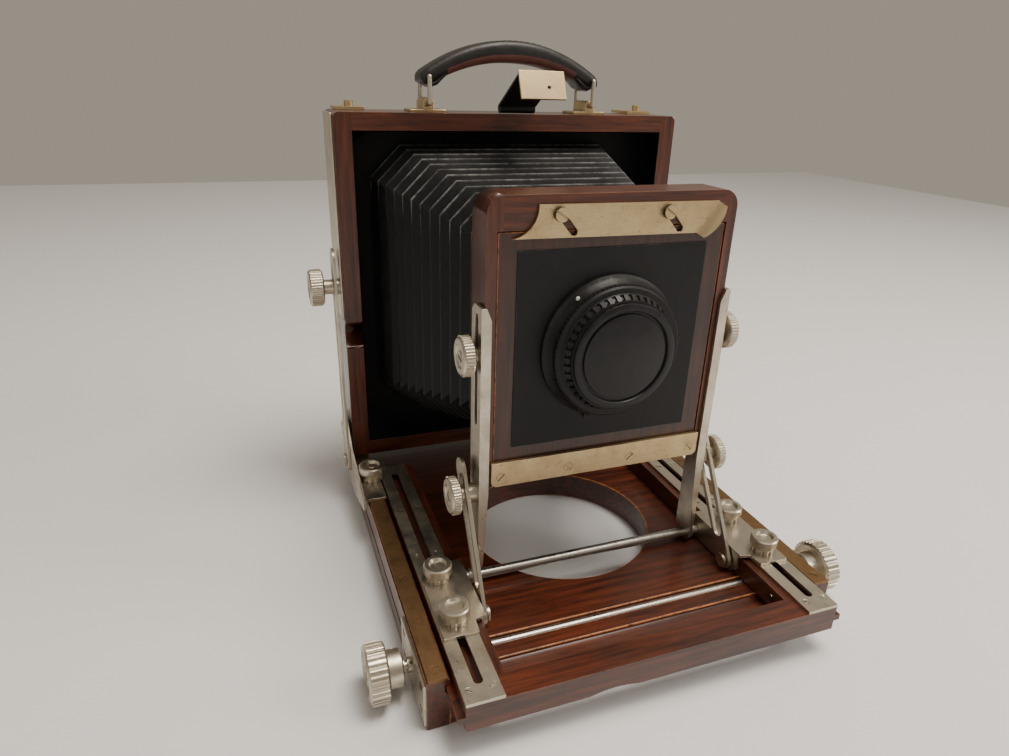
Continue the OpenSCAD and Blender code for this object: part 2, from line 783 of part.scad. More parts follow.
// brackets of the rear standard, each with the shouldered pin that its arm turns on
module rear_brackets() {
    color(nickel) both_sides() {
        rear_bracket();
        rod_x(bracket_in + 0.1, arm_in + arm_t + 0.2, 2, arm_foot[0], arm_foot[1]);
        rod_x(arm_in + arm_t + 0.1, arm_in + arm_t + 1.5, 3.6, arm_foot[0], arm_foot[1]);
    }
}

// clamp screw with a thumb head, its tip resting on the rail's strip
module rear_clamp(side) {
    base = strip_top + 1.65;
    color(nickel) {
        thumb_nut(side * clamp_x, clamp_y, base, 6.6, 8.2, 1);
        translate([side * clamp_x, clamp_y, strip_top + 0.05]) cylinder(r = 1.8, h = 2);
        translate([side * clamp_x, clamp_y, base]) cylinder(r = 1.6, h = 7.6);
    }
}

module left_rear_clamp() {
    rear_clamp(-1);
}

module right_rear_clamp() {
    rear_clamp(1);
}

module rear_frame() {
    half = rear_w / 2;
    corner = 3;
    color(wood) difference() {
        face_plate(rear_y, rear_t) union() {
            translate([-half, rear_low]) square([rear_w, rear_top - rear_low - corner]);
            translate([-half + corner, rear_low]) square([rear_w - 2 * corner, rear_top - rear_low]);
            for (s = [-1, 1]) translate([s * (half - corner), rear_top - corner]) circle(r = corner);
        }
        box([-half + rear_wall, half - rear_wall], [rear_y - 1, 98], [rear_low + 8, rear_top - 8]);
        box([-72, 72], [rear_y, rear_back + 1], [back_z - 62, back_z + 62]);
        both_sides() rod_x(half - 10, half + 2, 9, rear_y - 5.5, 96);
        both_sides() rod_x(half - 5.5, half + 1, 2 + fit, arm_knob_at[0], arm_knob_at[1]);
        both_sides() rod_x(half - 5.5, half + 1, 2, hinge_at[0], hinge_at[1]);
    }
}

// nickel plates on the frame's sides, with the arms' bosses and the hinge screws
module side_plates() {
    half = rear_w / 2;
    color(nickel) both_sides() {
        difference() {
            union() {
                box([half, half + 0.9], [rear_y + 2, rear_back - 2], [104, rear_top - 0.6]);
                rod_x(half + 0.9 - e, arm_in - 0.1, 4, arm_knob_at[0], arm_knob_at[1]);
            }
            rod_x(half - 1, half + 4, 2 + fit, arm_knob_at[0], arm_knob_at[1]);
        }
        rod_x(half - 5.5, bracket_out + 0.2, 2, hinge_at[0], hinge_at[1]);
        rod_x(bracket_out + 0.1, bracket_out + 1.4, 4, hinge_at[0], hinge_at[1]);
        rod_x(half + 0.1, bracket_in - 0.1, 4, hinge_at[0], hinge_at[1]);
    }
}

module rear_arm() {
    difference() {
        side_plate(arm_in, arm_t) translate(arm_foot) rotate(-arm_lean) union() {
            circle(r = 6);
            translate([-6, 0]) square([12, arm_len]);
            translate([0, arm_len]) circle(r = 6);
        }
        side_plate(arm_in - 1, arm_t + 2) translate(arm_foot) rotate(-arm_lean)
            slot_2d([0, 22], [0, arm_len - 5], 4.8);
        rod_x(arm_in - 1, arm_in + arm_t + 1, 2 + fit, arm_foot[0], arm_foot[1]);
    }
}

module rear_arms() {
    color(nickel) both_sides() rear_arm();
}

module right_arm_knob() {
    color(nickel) lock_knob(arm_knob_at[0], arm_knob_at[1], rear_w / 2 - 5.2, arm_in + arm_t + 0.1, 99, 106, 2, 9.2);
}

module left_arm_knob() {
    mirror([1, 0, 0]) right_arm_knob();
}

// ---- handle ----

// height of the handle's middle line at a distance x from the centre
function arch(x) = ring_high + arch_h * (1 - pow(abs(x) / ring_x, 2.2));

module handle_strap() {
    steps = 16;
    thick = 4.6;
    xs = [for (i = [0:steps]) -ring_x + 2 * ring_x * i / steps];
    color(black) difference() {
        union() {
            face_plate(ring_y[0] + 1.4, ring_y[1] - ring_y[0] - 2.8) polygon(concat(
                [for (x = xs) [x, arch(x) + thick / 2]],
                [for (i = [steps:-1:0]) [xs[i], arch(xs[i]) - thick / 2]]));
            for (s = [-1, 1]) rod_y(ring_y[0] + 1.4, ring_y[1] - 1.4, 3.2, s * ring_x, ring_high);
        }
        for (s = [-1, 1]) rod_y(ring_y[0], ring_y[1], ring_wire + 0.1, s * ring_x, ring_high);
    }
}

// wire ring: two bars along Y joined by two legs
module handle_ring(side) {
    color(nickel) {
        for (z = [ring_low, ring_high]) rod_y(ring_y[0], ring_y[1], ring_wire, side * ring_x, z);
        for (y = ring_y) translate([side * ring_x, y, ring_low]) {
            cylinder(r = ring_wire, h = ring_high - ring_low);
            sphere(r = ring_wire);
            translate([0, 0, ring_high - ring_low]) sphere(r = ring_wire);
        }
    }
}

module left_handle_ring() {
    handle_ring(-1);
}

module right_handle_ring() {
    handle_ring(1);
}

// brass plates on the frame's top, each with a saddle that holds a ring
module handle_plates() {
    color(brass) both_sides() difference() {
        union() {
            box([ring_x - 9, ring_x + 9], [82.4, 96.8], [rear_top, rear_top + 1.2]);
            rod_y(82.4, 96.8, 2.6, ring_x, ring_low);
            box([ring_x - 2.6, ring_x + 2.6], [82.4, 96.8], [rear_top + 1, ring_low]);
        }
        rod_y(80, 99, ring_wire + 0.1, ring_x, ring_low);
    }
}

// ---- catch that holds the folded bed ----

module catch_leaf() {
    color(black) {
        translate([0, catch_y, catch_z]) rotate([-catch_lean, 0, 0])
            translate([-9.7, -33, 0.3]) cube([19.4, 33, 1.3]);
        rod_x(-9.2, 9.2, 2.1, catch_y, catch_z);
    }
}

module catch_hook() {
    color(brass) difference() {
        side_plate(-11, 22) polygon([[47.5, 223.05], [46.5, 223.2], [41.1, 211.5], [42.2, 211], [46.95, 221.9]]);
        translate([3, 44, 216]) rotate([64, 0, 0]) cylinder(r = 0.9, h = 6, center = true);
    }
}

// ---- back ----

module back_latches() {
    color(brass) both_sides() difference() {
        union() {
            box([72, 86], [94, 113], [rear_top + 0.1, rear_top + 1.5]);
            translate([79, 97.5, rear_top + 1.4]) cylinder(r = 2.2, h = 3);
        }
        translate([0, 0, rear_top - 1]) linear_extrude(height = 4) slot_2d([79, 102], [79, 107], 3);
    }
}

module reversible_back() {
    color(wood) difference() {
        box([-88, 88], [rear_back + 0.05, rear_back + 9], [28, rear_top - 2]);
        box([-62, 62], [rear_back - 1, rear_back + 10], [back_z - 49, back_z + 49]);
    }
}

module ground_glass_frame() {
    y0 = rear_back + 9.1;
    color(wood) difference() {
        box([-76, 76], [y0, y0 + 7], [back_z - 61, back_z + 61]);
        box([-60, 60], [y0 - 1, y0 + 8], [back_z - 47, back_z + 47]);
        box([-63.7, 63.7], [y0 - 1, y0 + 3], [back_z - 51, back_z + 51]);
    }
}

module ground_glass() {
    y0 = rear_back + 9.1;
    color(glass) box([-63.5, 63.5], [y0 + 0.8, y0 + 2.9], [back_z - 50.8, back_z + 50.8]);
}

// two leaf springs that press the glass frame against the back
module back_springs() {
    y0 = rear_back + 16.2;
    color(nickel) for (s = [-1, 1]) {
        box([s * 68 - 4, s * 68 + 4], [y0, y0 + 0.8], [back_z - 72, back_z + 72]);
        for (t = [-1, 1]) rod_y(rear_back + 9.05, y0, 3, s * 68, back_z + t * 68);
    }
}

base_panel();
side_rails();
rail_strips();
base_screws();
bearing_plates();
tripod_plate();
pinion_shaft();
left_focus_knob();
right_focus_knob();
bed_frame();
track_plates();
track_screws();
focus_racks();
foot_brackets();
foot_studs();
left_front_nut();
left_back_nut();
right_front_nut();
right_back_nut();
front_struts();
uprights();
tilt_rod();
left_tilt_knob();
right_tilt_knob();
lens_frame();
bottom_bar();
front_screws();
lens_board();
board_panel();
shutter_body();
lens_cells();
lens_elements();
retaining_ring();
lock_plate();
lens_cap();
cocking_lever();
release_lever();
aperture_lever();
left_rise_knob();
right_rise_knob();
bellows();
rear_brackets();
left_rear_clamp();
right_rear_clamp();
rear_frame();
side_plates();
rear_arms();
left_arm_knob();
right_arm_knob();
handle_strap();
left_handle_ring();
right_handle_ring();
handle_plates();
catch_leaf();
catch_hook();
back_latches();
reversible_back();
ground_glass_frame();
ground_glass();
back_springs();
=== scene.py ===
import json
from math import atan2, copysign, cos, pi, radians, sin, sqrt

import bmesh
import bpy
from bpy.props import FloatProperty, FloatVectorProperty, IntProperty, PointerProperty
from mathutils import Matrix, Vector


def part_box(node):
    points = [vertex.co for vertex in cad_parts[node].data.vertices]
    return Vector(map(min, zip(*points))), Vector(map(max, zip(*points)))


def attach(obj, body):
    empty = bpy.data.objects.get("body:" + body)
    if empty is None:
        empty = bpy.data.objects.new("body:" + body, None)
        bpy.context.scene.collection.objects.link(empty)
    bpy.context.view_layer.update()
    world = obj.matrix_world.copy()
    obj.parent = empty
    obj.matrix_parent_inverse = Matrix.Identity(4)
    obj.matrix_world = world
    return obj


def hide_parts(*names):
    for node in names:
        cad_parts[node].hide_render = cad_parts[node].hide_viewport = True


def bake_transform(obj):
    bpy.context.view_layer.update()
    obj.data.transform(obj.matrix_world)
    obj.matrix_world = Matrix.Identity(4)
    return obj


bl_info = {
    "name": "Wooden field camera",
    "version": (1, 0, 0),
    "blender": (4, 5, 0),
    "location": "View3D > Sidebar > Field Camera",
    "description": "Finishes the packed frame of a wooden folding field camera",
    "category": "Object",
}

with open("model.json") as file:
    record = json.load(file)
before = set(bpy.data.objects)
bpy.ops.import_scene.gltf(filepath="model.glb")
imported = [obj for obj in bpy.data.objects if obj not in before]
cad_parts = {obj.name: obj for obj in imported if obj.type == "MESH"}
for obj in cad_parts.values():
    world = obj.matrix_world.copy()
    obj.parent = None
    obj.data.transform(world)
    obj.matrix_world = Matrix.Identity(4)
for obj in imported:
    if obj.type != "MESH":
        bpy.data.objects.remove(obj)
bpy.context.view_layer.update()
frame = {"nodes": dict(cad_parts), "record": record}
MM = 0.001
RECORD = frame["record"]
BODY_OF = {node: body for body, nodes in RECORD["behaviour"]["bodies"].items() for node in nodes}
SLOT_OF = {row["node"]: row["material_slot"] for row in RECORD["subparts"]}


# ---- settings ----


def colour(name, description, value):
    return FloatVectorProperty(name=name, description=description, default=value, size=3,
                               subtype="COLOR", min=0, max=1)


def length(name, description, value):
    return FloatProperty(name=name, description=description, default=value, subtype="DISTANCE",
                         unit="LENGTH")


def whole_number(name, description, value):
    return IntProperty(name=name, description=description, default=value, min=8)


class WoodSettings(bpy.types.PropertyGroup):
    dark: colour("Dark grain", "Lacquered wood along its dark grain lines", (0.024, 0.0056, 0.0032))
    light: colour("Light grain", "Lacquered wood between its grain lines", (0.140, 0.031, 0.0112))
    worn: colour("Worn edge", "Bare wood where the lacquer has rubbed off", (0.47, 0.175, 0.055))
    edge: length("Edge radius", "Rounding of the wooden edges", 0.0013)


class MetalSettings(bpy.types.PropertyGroup):
    nickel: colour("Nickel", "Dull nickel plate", (0.60, 0.545, 0.45))
    brass: colour("Brass", "Aged yellow brass", (0.60, 0.47, 0.275))
    bronze: colour("Bronze", "Dark bronze rail strips", (0.26, 0.155, 0.075))
    edge: length("Edge radius", "Rounding of the metal edges", 0.00022)


class KnobSettings(bpy.types.PropertyGroup):
    lock_ribs: whole_number("Lock knob ribs", "Ribs round each small lock knob", 44)
    arm_ribs: whole_number("Arm knob ribs", "Ribs round each arm knob", 44)
    focus_ribs: whole_number("Focus knob ribs", "Ribs round each focusing knob", 34)


class LensSettings(bpy.types.PropertyGroup):
    cap_ribs: whole_number("Cap ribs", "Ribs round the lens cap's rim", 44)
    ring_ribs: whole_number("Speed ring ribs", "Ribs round the shutter's speed ring", 90)
    black: colour("Black enamel", "Enamel of the shutter and its barrel", (0.0075, 0.0075, 0.008))


class BellowsSettings(bpy.types.PropertyGroup):
    depth: length("Fold depth", "Depth of each pleat", 0.0074)
    wall: length("Wall", "Thickness of the folded cloth", 0.0006)
    cloth: colour("Cloth", "Black bellows cloth", (0.0042, 0.0042, 0.0046))
    # Ridge: a light grey painted as a highlight along the upper ridges of the black bellows
    ridge_highlight: colour("Ridge", "Painted highlight along the upper ridges of the bellows", (0.24, 0.24, 0.235))


class HandleSettings(bpy.types.PropertyGroup):
    grain: colour("Grain side", "Black outer leather", (0.011, 0.010, 0.0095))
    flesh: colour("Flesh side", "Dark red-brown lining", (0.105, 0.036, 0.027))
    stitch: length("Stitch pitch", "Distance from stitch to stitch", 0.0031)


class StageSettings(bpy.types.PropertyGroup):
    floor: colour("Floor", "Plain pale floor", (0.80, 0.80, 0.81))
    surround: colour("Surround", "Plain beige surround", (0.56, 0.495, 0.405))
    focal: FloatProperty(name="Focal length", description="Focal length in millimetres", default=24.82,
                         min=1)


GROUPS = {
    "camera_wood": WoodSettings,
    "camera_metal": MetalSettings,
    "camera_knobs": KnobSettings,
    "camera_lens": LensSettings,
    "camera_bellows": BellowsSettings,
    "camera_handle": HandleSettings,
    "camera_stage": StageSettings,
}


# ---- materials ----


class Shader:
    """A Principled material and short calls that add nodes to it."""

    def __init__(self, name, **constants):
        self.material = bpy.data.materials.new(name)
        self.material.use_nodes = True
        self.tree = self.material.node_tree
        self.surface = self.tree.nodes["Principled BSDF"]
        for socket, value in constants.items():
            label = socket.replace("_", " ")
            if hasattr(value, "__len__"):
                value = (*value[:3], 1)
            self.surface.inputs[label].default_value = value

    def add(self, kind, inputs=None, **settings):
        made = self.tree.nodes.new(kind)
        for key, value in settings.items():
            setattr(made, key, value)
        for key, value in (inputs or {}).items():
            self.feed(made.inputs[key], value)
        return made

    def feed(self, socket, value):
        if isinstance(value, bpy.types.NodeSocket):
            self.tree.links.new(value, socket)
        else:
            socket.default_value = value

    def place(self, stretch=(1, 1, 1)):
        """Object coordinates, scaled: a small factor draws a pattern out along that axis."""
        source = self.add("ShaderNodeTexCoord").outputs["Object"]
        return self.add("ShaderNodeMapping", {"Vector": source, "Scale": stretch}).outputs["Vector"]

    def noise(self, scale, stretch=(1, 1, 1), detail=4, rough=0.55, bend=0.0):
        inputs = {"Vector": self.place(stretch), "Scale": scale, "Detail": detail, "Roughness": rough,
                  "Distortion": bend}
        return self.add("ShaderNodeTexNoise", inputs).outputs["Fac"]

    def spread(self, value, low, high, out_low=0.0, out_high=1.0):
        inputs = {"Value": value, "From Min": low, "From Max": high, "To Min": out_low, "To Max": out_high}
        return self.add("ShaderNodeMapRange", inputs).outputs["Result"]

    def math(self, operation, first, second):
        made = self.add("ShaderNodeMath", operation=operation, use_clamp=True)
        self.feed(made.inputs[0], first)
        self.feed(made.inputs[1], second)
        return made.outputs[0]

    def mix(self, factor, first, second):
        made = self.add("ShaderNodeMix", data_type="RGBA")
        for socket, value in ((made.inputs[0], factor), (made.inputs[6], first), (made.inputs[7], second)):
            if hasattr(value, "__len__") and not isinstance(value, bpy.types.NodeSocket):
                value = (*value[:3], 1)
            self.feed(socket, value)
        return made.outputs[2]

    def mask(self, name):
        return self.add("ShaderNodeAttribute", attribute_name=name).outputs["Fac"]

    def set(self, socket, value):
        self.feed(self.surface.inputs[socket], value)

    def bump(self, height, distance, strength=1.0):
        made = self.add("ShaderNodeBump", {"Height": height, "Distance": distance, "Strength": strength})
        self.set("Normal", made.outputs["Normal"])


def wood_material(name, axis, dark, light, worn):
    """Lacquered wood with its grain along one axis, and bare wood where the wear mask is set."""
    along = [1.0, 1.0, 1.0]
    along["XYZ".index(axis)] = 0.06
    shade = Shader(name, Coat_Weight=0.35, Coat_Roughness=0.16, Specular_IOR_Level=0.45)
    grain = shade.noise(420, along, detail=6, rough=0.62, bend=0.35)
    pores = shade.noise(2400, along, detail=2)
    patches = shade.noise(26, detail=3)
    tone = shade.mix(shade.spread(grain, 0.34, 0.68), dark, light)
    tone = shade.mix(shade.spread(patches, 0.38, 0.75, 0.0, 0.55), tone, [0.62 * c for c in dark])
    tone = shade.mix(shade.spread(pores, 0.60, 0.74, 0.0, 0.7), tone, [0.3 * c for c in dark])
    rub_and_sheen = shade.noise(330, detail=5, rough=0.7)
    rub_and_sheen = shade.math("MULTIPLY", shade.mask("wear_and_sheen"), shade.spread(rub_and_sheen, 0.34, 0.54))
    specks = shade.spread(shade.noise(900, detail=3, rough=0.75), 0.70, 0.76, 0.0, 0.35)
    rub_and_sheen = shade.math("ADD", rub_and_sheen, specks)
    bare = shade.mix(shade.spread(grain, 0.3, 0.7), [0.55 * c for c in worn], worn)
    shade.set("Base Color", shade.mix(rub_and_sheen, tone, bare))
    shade.set("Roughness", shade.spread(shade.math("ADD", rub_and_sheen, patches), 0.2, 1.3, 0.27, 0.6))
    shade.bump(shade.math("ADD", pores, grain), 0.00006, 0.5)
    return shade.material


def metal_material(name, tint, rough, tarnish, brush=(1, 1, 0.05), stain=0.45):
    """Plated or bare metal with fine brushing, blotches of tarnish and dirt in places."""
    shade = Shader(name, Metallic=1.0, Specular_IOR_Level=0.5)
    lines = shade.noise(3200, brush, detail=3)
    blotch = shade.noise(95, detail=5, rough=0.65)
    spots = shade.noise(620, detail=4, rough=0.7)
    tone = shade.mix(shade.spread(blotch, 0.42, 0.72, 0.0, stain), tint, tarnish)
    tone = shade.mix(shade.spread(spots, 0.60, 0.72, 0.0, 0.55), tone, [0.35 * c for c in tarnish])
    tone = shade.mix(shade.spread(lines, 0.45, 0.7, 0.0, 0.14), tone, tarnish)
    bright = [min(1.0, 1.25 * c) for c in tint]
    shade.set("Base Color", shade.mix(shade.math("MULTIPLY", shade.mask("wear_and_sheen"), 0.6), tone, bright))
    uneven = shade.math("ADD", shade.spread(blotch, 0.35, 0.7, 0.0, 0.16),
                        shade.spread(lines, 0.3, 0.7, 0.0, 0.1))
    shade.set("Roughness", shade.math("ADD", uneven, rough))
    shade.bump(lines, 0.000012, 0.55)
    return shade.material


def paint_material(name, tint, rough, dust=0.5, coat=0.0):
    """Black paint, enamel or moulded plastic with fine dust and faint unevenness."""
    shade = Shader(name, Coat_Weight=coat, Coat_Roughness=0.2, Specular_IOR_Level=0.26)
    film = shade.noise(140, detail=5, rough=0.6)
    fine = shade.noise(2600, detail=2)
    specks = shade.spread(shade.noise(1500, detail=3, rough=0.8), 0.72, 0.8, 0.0, dust)
    tone = shade.mix(shade.spread(film, 0.35, 0.75, 0.0, 0.6), tint, [2.1 * c for c in tint])
    rub_and_sheen = shade.math("MULTIPLY", shade.mask("wear_and_sheen"), shade.spread(film, 0.4, 0.7, 0.0, 0.5))
    tone = shade.mix(rub_and_sheen, tone, (0.10, 0.10, 0.10))
    shade.set("Base Color", shade.mix(specks, tone, (0.16, 0.155, 0.15)))
    shade.set("Roughness", shade.spread(film, 0.3, 0.75, rough - 0.06, rough + 0.1))
    shade.bump(fine, 0.00002, 0.4)
    return shade.material


def leather_material(name, tint, rubbed, rough, scuff=0.3, shine=0.4):
    """Leather with a pebbled grain, lighter where the mask is set and, by scuff, in patches: rubbed edges on
    the handle, a painted highlight along the upper ridges of the bellows.
    """
    shade = Shader(name, Specular_IOR_Level=shine)
    pebble = shade.add("ShaderNodeTexVoronoi", {"Vector": shade.place(), "Scale": 1150.0},
                       feature="SMOOTH_F1")
    creases = shade.noise(260, detail=6, rough=0.7)
    tone = shade.mix(shade.spread(creases, 0.4, 0.75, 0.0, scuff), tint, rubbed)
    # Lighter where the mask is set: rubbed leather on the handle, a painted highlight on the bellows' ridges
    rub_and_sheen = shade.math("MULTIPLY", shade.mask("wear_and_sheen"), shade.spread(creases, 0.3, 0.6))
    tone = shade.mix(rub_and_sheen, tone, rubbed)
    shade.set("Base Color", tone)
    shade.set("Roughness", shade.spread(creases, 0.3, 0.7, rough - 0.08, rough + 0.12))
    shade.bump(shade.math("ADD", pebble.outputs["Distance"], creases), 0.00009, 0.6)
    return shade.material


def glass_material():
    shade = Shader("Coated lens glass", Base_Color=(0.93, 0.96, 0.97), Transmission_Weight=1.0, IOR=1.52)
    shade.set("Roughness", shade.spread(shade.noise(60), 0.4, 0.8, 0.01, 0.05))
    return shade.material


def frosted_material():
    """Ground glass with a fine ruled grid, twenty millimetres from line to line."""
    shade = Shader("Ground glass", Transmission_Weight=0.55, IOR=1.5)
    spot = shade.add("ShaderNodeSeparateXYZ", {0: shade.add("ShaderNodeTexCoord").outputs["Object"]})
    half_pitch = 0.01
    lines = []
    for axis, shift in (("X", 1.0), ("Z", 0.0)):
        shifted = shade.add("ShaderNodeMath", {0: spot.outputs[axis], 1: shift}, operation="ADD")
        wave = shade.add("ShaderNodeMath", {0: shifted.outputs[0], 1: half_pitch}, operation="PINGPONG")
        lines.append(shade.spread(wave.outputs[0], 0.00008, 0.00016, 1.0, 0.0))
    grid = shade.math("MAXIMUM", lines[0], lines[1])
    grit = shade.noise(4200, detail=3)
    base = shade.mix(shade.spread(grit, 0.3, 0.7), (0.60, 0.63, 0.61), (0.74, 0.77, 0.75))
    shade.set("Base Color", shade.mix(grid, base, (0.12, 0.12, 0.12)))
    shade.set("Roughness", shade.spread(grit, 0.3, 0.7, 0.5, 0.7))
    shade.bump(grit, 0.00002, 0.5)
    return shade.material


FINISHES = {}


def make_finishes(scene):
    wood, metal, lens = scene.camera_wood, scene.camera_metal, scene.camera_lens
    for axis in "XYZ":
        FINISHES["wood_" + axis] = wood_material("Lacquered wood along " + axis, axis, wood.dark,
                                                 wood.light, wood.worn)
    FINISHES["wood_board"] = wood_material("Lens board wood", "Z", [0.55 * c for c in wood.dark],
                                           [0.48 * c for c in wood.light], wood.worn)
    FINISHES["nickel"] = metal_material("Nickel plate", metal.nickel, 0.25, (0.30, 0.25, 0.18))
    FINISHES["steel"] = metal_material("Bare steel", (0.52, 0.50, 0.47), 0.2, (0.23, 0.18, 0.13),
                                       (0.05, 1, 1))
    FINISHES["brass"] = metal_material("Aged brass", metal.brass, 0.3, (0.33, 0.21, 0.10), (0.06, 1, 1),
                                       0.35)
    FINISHES["bronze_strip"] = metal_material("Bronze strip", metal.bronze, 0.36, (0.11, 0.06, 0.03),
                                              (1, 0.05, 1))
    FINISHES["black_satin"] = paint_material("Satin black panel", (0.0075, 0.0075, 0.0083), 0.46, 0.3)
    FINISHES["black_enamel"] = paint_material("Black enamel", lens.black, 0.42, 0.25)
    FINISHES["black_plastic"] = paint_material("Black moulded plastic", (0.011, 0.011, 0.012), 0.34, 0.35)
    FINISHES["matt_black"] = paint_material("Matt black inside", (0.006, 0.006, 0.0065), 0.62, 0.2)
    FINISHES["white_dot"] = paint_material("White enamel", (0.62, 0.62, 0.60), 0.35, 0.1)
    # Very dark metal for screw slots and rims: grime, and painted shade in these recesses
    FINISHES["grime_and_shade"] = metal_material("Grime and painted shade", (0.10, 0.075, 0.045), 0.5, (0.03, 0.02, 0.012))
    FINISHES["clear_glass"] = glass_material()
    FINISHES["frosted_glass"] = frosted_material()
    cloth, strap = scene.camera_bellows, scene.camera_handle
    # The bellows' lighter tone is a painted highlight along its upper ridges
    FINISHES["bellows_cloth"] = leather_material("Bellows cloth", cloth.cloth, cloth.ridge_highlight, 0.46,
                                                 scuff=0.03, shine=0.22)
    FINISHES["handle_leather"] = leather_material("Handle grain side", strap.grain,
                                                  (0.034, 0.028, 0.025), 0.42)
    FINISHES["handle_lining"] = leather_material("Handle flesh side", strap.flesh,
                                                 (0.19, 0.075, 0.05), 0.62)
    FINISHES["thread"] = leather_material("Waxed thread", (0.02, 0.018, 0.016), (0.06, 0.05, 0.045), 0.6)


# ---- mesh helpers ----


def link(name, mesh):
    made = bpy.data.objects.new(name, mesh)
    bpy.context.scene.collection.objects.link(made)
    return made


def solid(name, bm, finishes, smooth=38):
    """A new object from a closed mesh, with outward normals and its sharp edges marked."""
    bmesh.ops.remove_doubles(bm, verts=bm.verts, dist=1e-7)
    bmesh.ops.recalc_face_normals(bm, faces=bm.faces)
    mesh = bpy.data.meshes.new(name)
    bm.to_mesh(mesh)
    bm.free()
    for finish in finishes:
        mesh.materials.append(FINISHES[finish])
    mesh.shade_smooth()
    mesh.set_sharp_from_angle(angle=radians(smooth))
    return link(name, mesh)


def applied(made):
    """Replaces an object's live modifiers by their result."""
    graph = bpy.context.evaluated_depsgraph_get()
    mesh = bpy.data.meshes.new_from_object(made.evaluated_get(graph), depsgraph=graph)
    made.modifiers.clear()
    made.data = mesh
    return made


def joined(name, parts):
    """One object from several, each keeping its finishes and shading."""
    bm = bmesh.new()
    materials = []
    for part in parts:
        before = len(bm.faces)
        bm.from_mesh(part.data)
        bm.faces.ensure_lookup_table()
        for face in bm.faces[before:]:
            material = part.data.materials[face.material_index]
            if material not in materials:
                materials.append(material)
            face.material_index = materials.index(material)
        bpy.data.objects.remove(part)
    mesh = bpy.data.meshes.new(name)
    bm.to_mesh(mesh)
    bm.free()
    for material in materials:
        mesh.materials.append(material)
    return link(name, mesh)


def seat(made, node=None, body=None, slot=None):
    """Puts a finished piece on its body, in place of a CAD node where one is named."""
    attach(made, body or BODY_OF[node])
    if node:
        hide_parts(node)
    slot or SLOT_OF[node]
    return made


def corners(node):
    """The lowest and highest corner of a CAD node, in millimetres."""
    low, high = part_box(node)
    return [c / MM for c in low], [c / MM for c in high]


def around(axis, centre, radius, along, turn):
    """A point on a circle round an axis through centre, in millimetres."""
    a, b = radius * cos(turn), radius * sin(turn)
    x, y, z = centre
    if axis == "X":
        return Vector((along, y + a, z + b)) * MM
    if axis == "Y":
        return Vector((x + a, along, z + b)) * MM
    return Vector((x + a, y + b, along)) * MM


def turned(bm, profile, axis, centre, steps=64):
    """Turns a closed outline of (radius, distance along the axis) round an axis."""
    rings = []
    for radius, along in profile:
        if radius < 1e-6:
            rings.append([bm.verts.new(around(axis, centre, 0, along, 0))])
        else:
            turns = [2 * pi * i / steps for i in range(steps)]
            rings.append([bm.verts.new(around(axis, centre, radius, along, turn)) for turn in turns])
    for first, second in zip(rings, rings[1:] + rings[:1]):
        if len(first) == 1 and len(second) == 1:
            continue
        for i in range(steps):
            j = (i + 1) % steps
            if len(first) == 1:
                face = (first[0], second[j], second[i])
            elif len(second) == 1:
                face = (first[i], first[j], second[0])
            else:
                face = (first[i], first[j], second[j], second[i])
            bm.faces.new(face)


def brick(bm, low, high):
    """A box between two corners in millimetres."""
    for vert in bmesh.ops.create_cube(bm, size=1)["verts"]:
        vert.co = Vector([(l + h) / 2 + c * (h - l) for l, h, c in zip(low, high, vert.co)]) * MM


def finished_copy(node, edge, choose, finishes, segments=2, cuts=()):
    """A CAD node's shape with rounded edges, a wear mask on them and a finish for each face."""
    mesh = frame["nodes"][node].data.copy()
    bm = bmesh.new()
    bm.from_mesh(mesh)
    bpy.data.meshes.remove(mesh)
    bmesh.ops.remove_doubles(bm, verts=bm.verts, dist=2e-6)
    bmesh.ops.dissolve_limit(bm, angle_limit=radians(0.8), verts=bm.verts, edges=bm.edges)
    bmesh.ops.recalc_face_normals(bm, faces=bm.faces)
    wear_and_sheen = bm.faces.layers.float.new("wear_and_sheen")
    sharp = [e for e in bm.edges if len(e.link_faces) == 2 and e.is_convex
             and e.calc_face_angle() > radians(30) and e.calc_length() > edge * 1.2]
    rounded = bmesh.ops.bevel(bm, geom=sharp, offset=edge, offset_type="OFFSET", segments=segments,
                              profile=0.5, affect="EDGES", clamp_overlap=True, material=-1)["faces"]
    for face in rounded:
        if face.is_valid:
            face[wear_and_sheen] = 1.0
    for axis, place in cuts:
        along = Vector([float(axis == letter) for letter in "XYZ"])
        everything = bm.verts[:] + bm.edges[:] + bm.faces[:]
        bmesh.ops.bisect_plane(bm, geom=everything, plane_co=along * place * MM, plane_no=along, dist=1e-6)
    for face in bm.faces:
        face.material_index = choose(face.calc_center_bounds() / MM, face.normal)
        face.smooth = True
    result = bpy.data.meshes.new(node + "_finished")
    bm.to_mesh(result)
    bm.free()
    for finish in finishes:
        result.materials.append(FINISHES[finish])
    made = link(node + "_finished", result)
    weights = made.modifiers.new("Flat faces", "WEIGHTED_NORMAL")
    weights.weight = 100
    weights.keep_sharp = True
    result.set_sharp_from_angle(angle=radians(58))
    return seat(applied(made), node)


def plain(centre, normal):
    return 0


# ---- geometry nodes ----


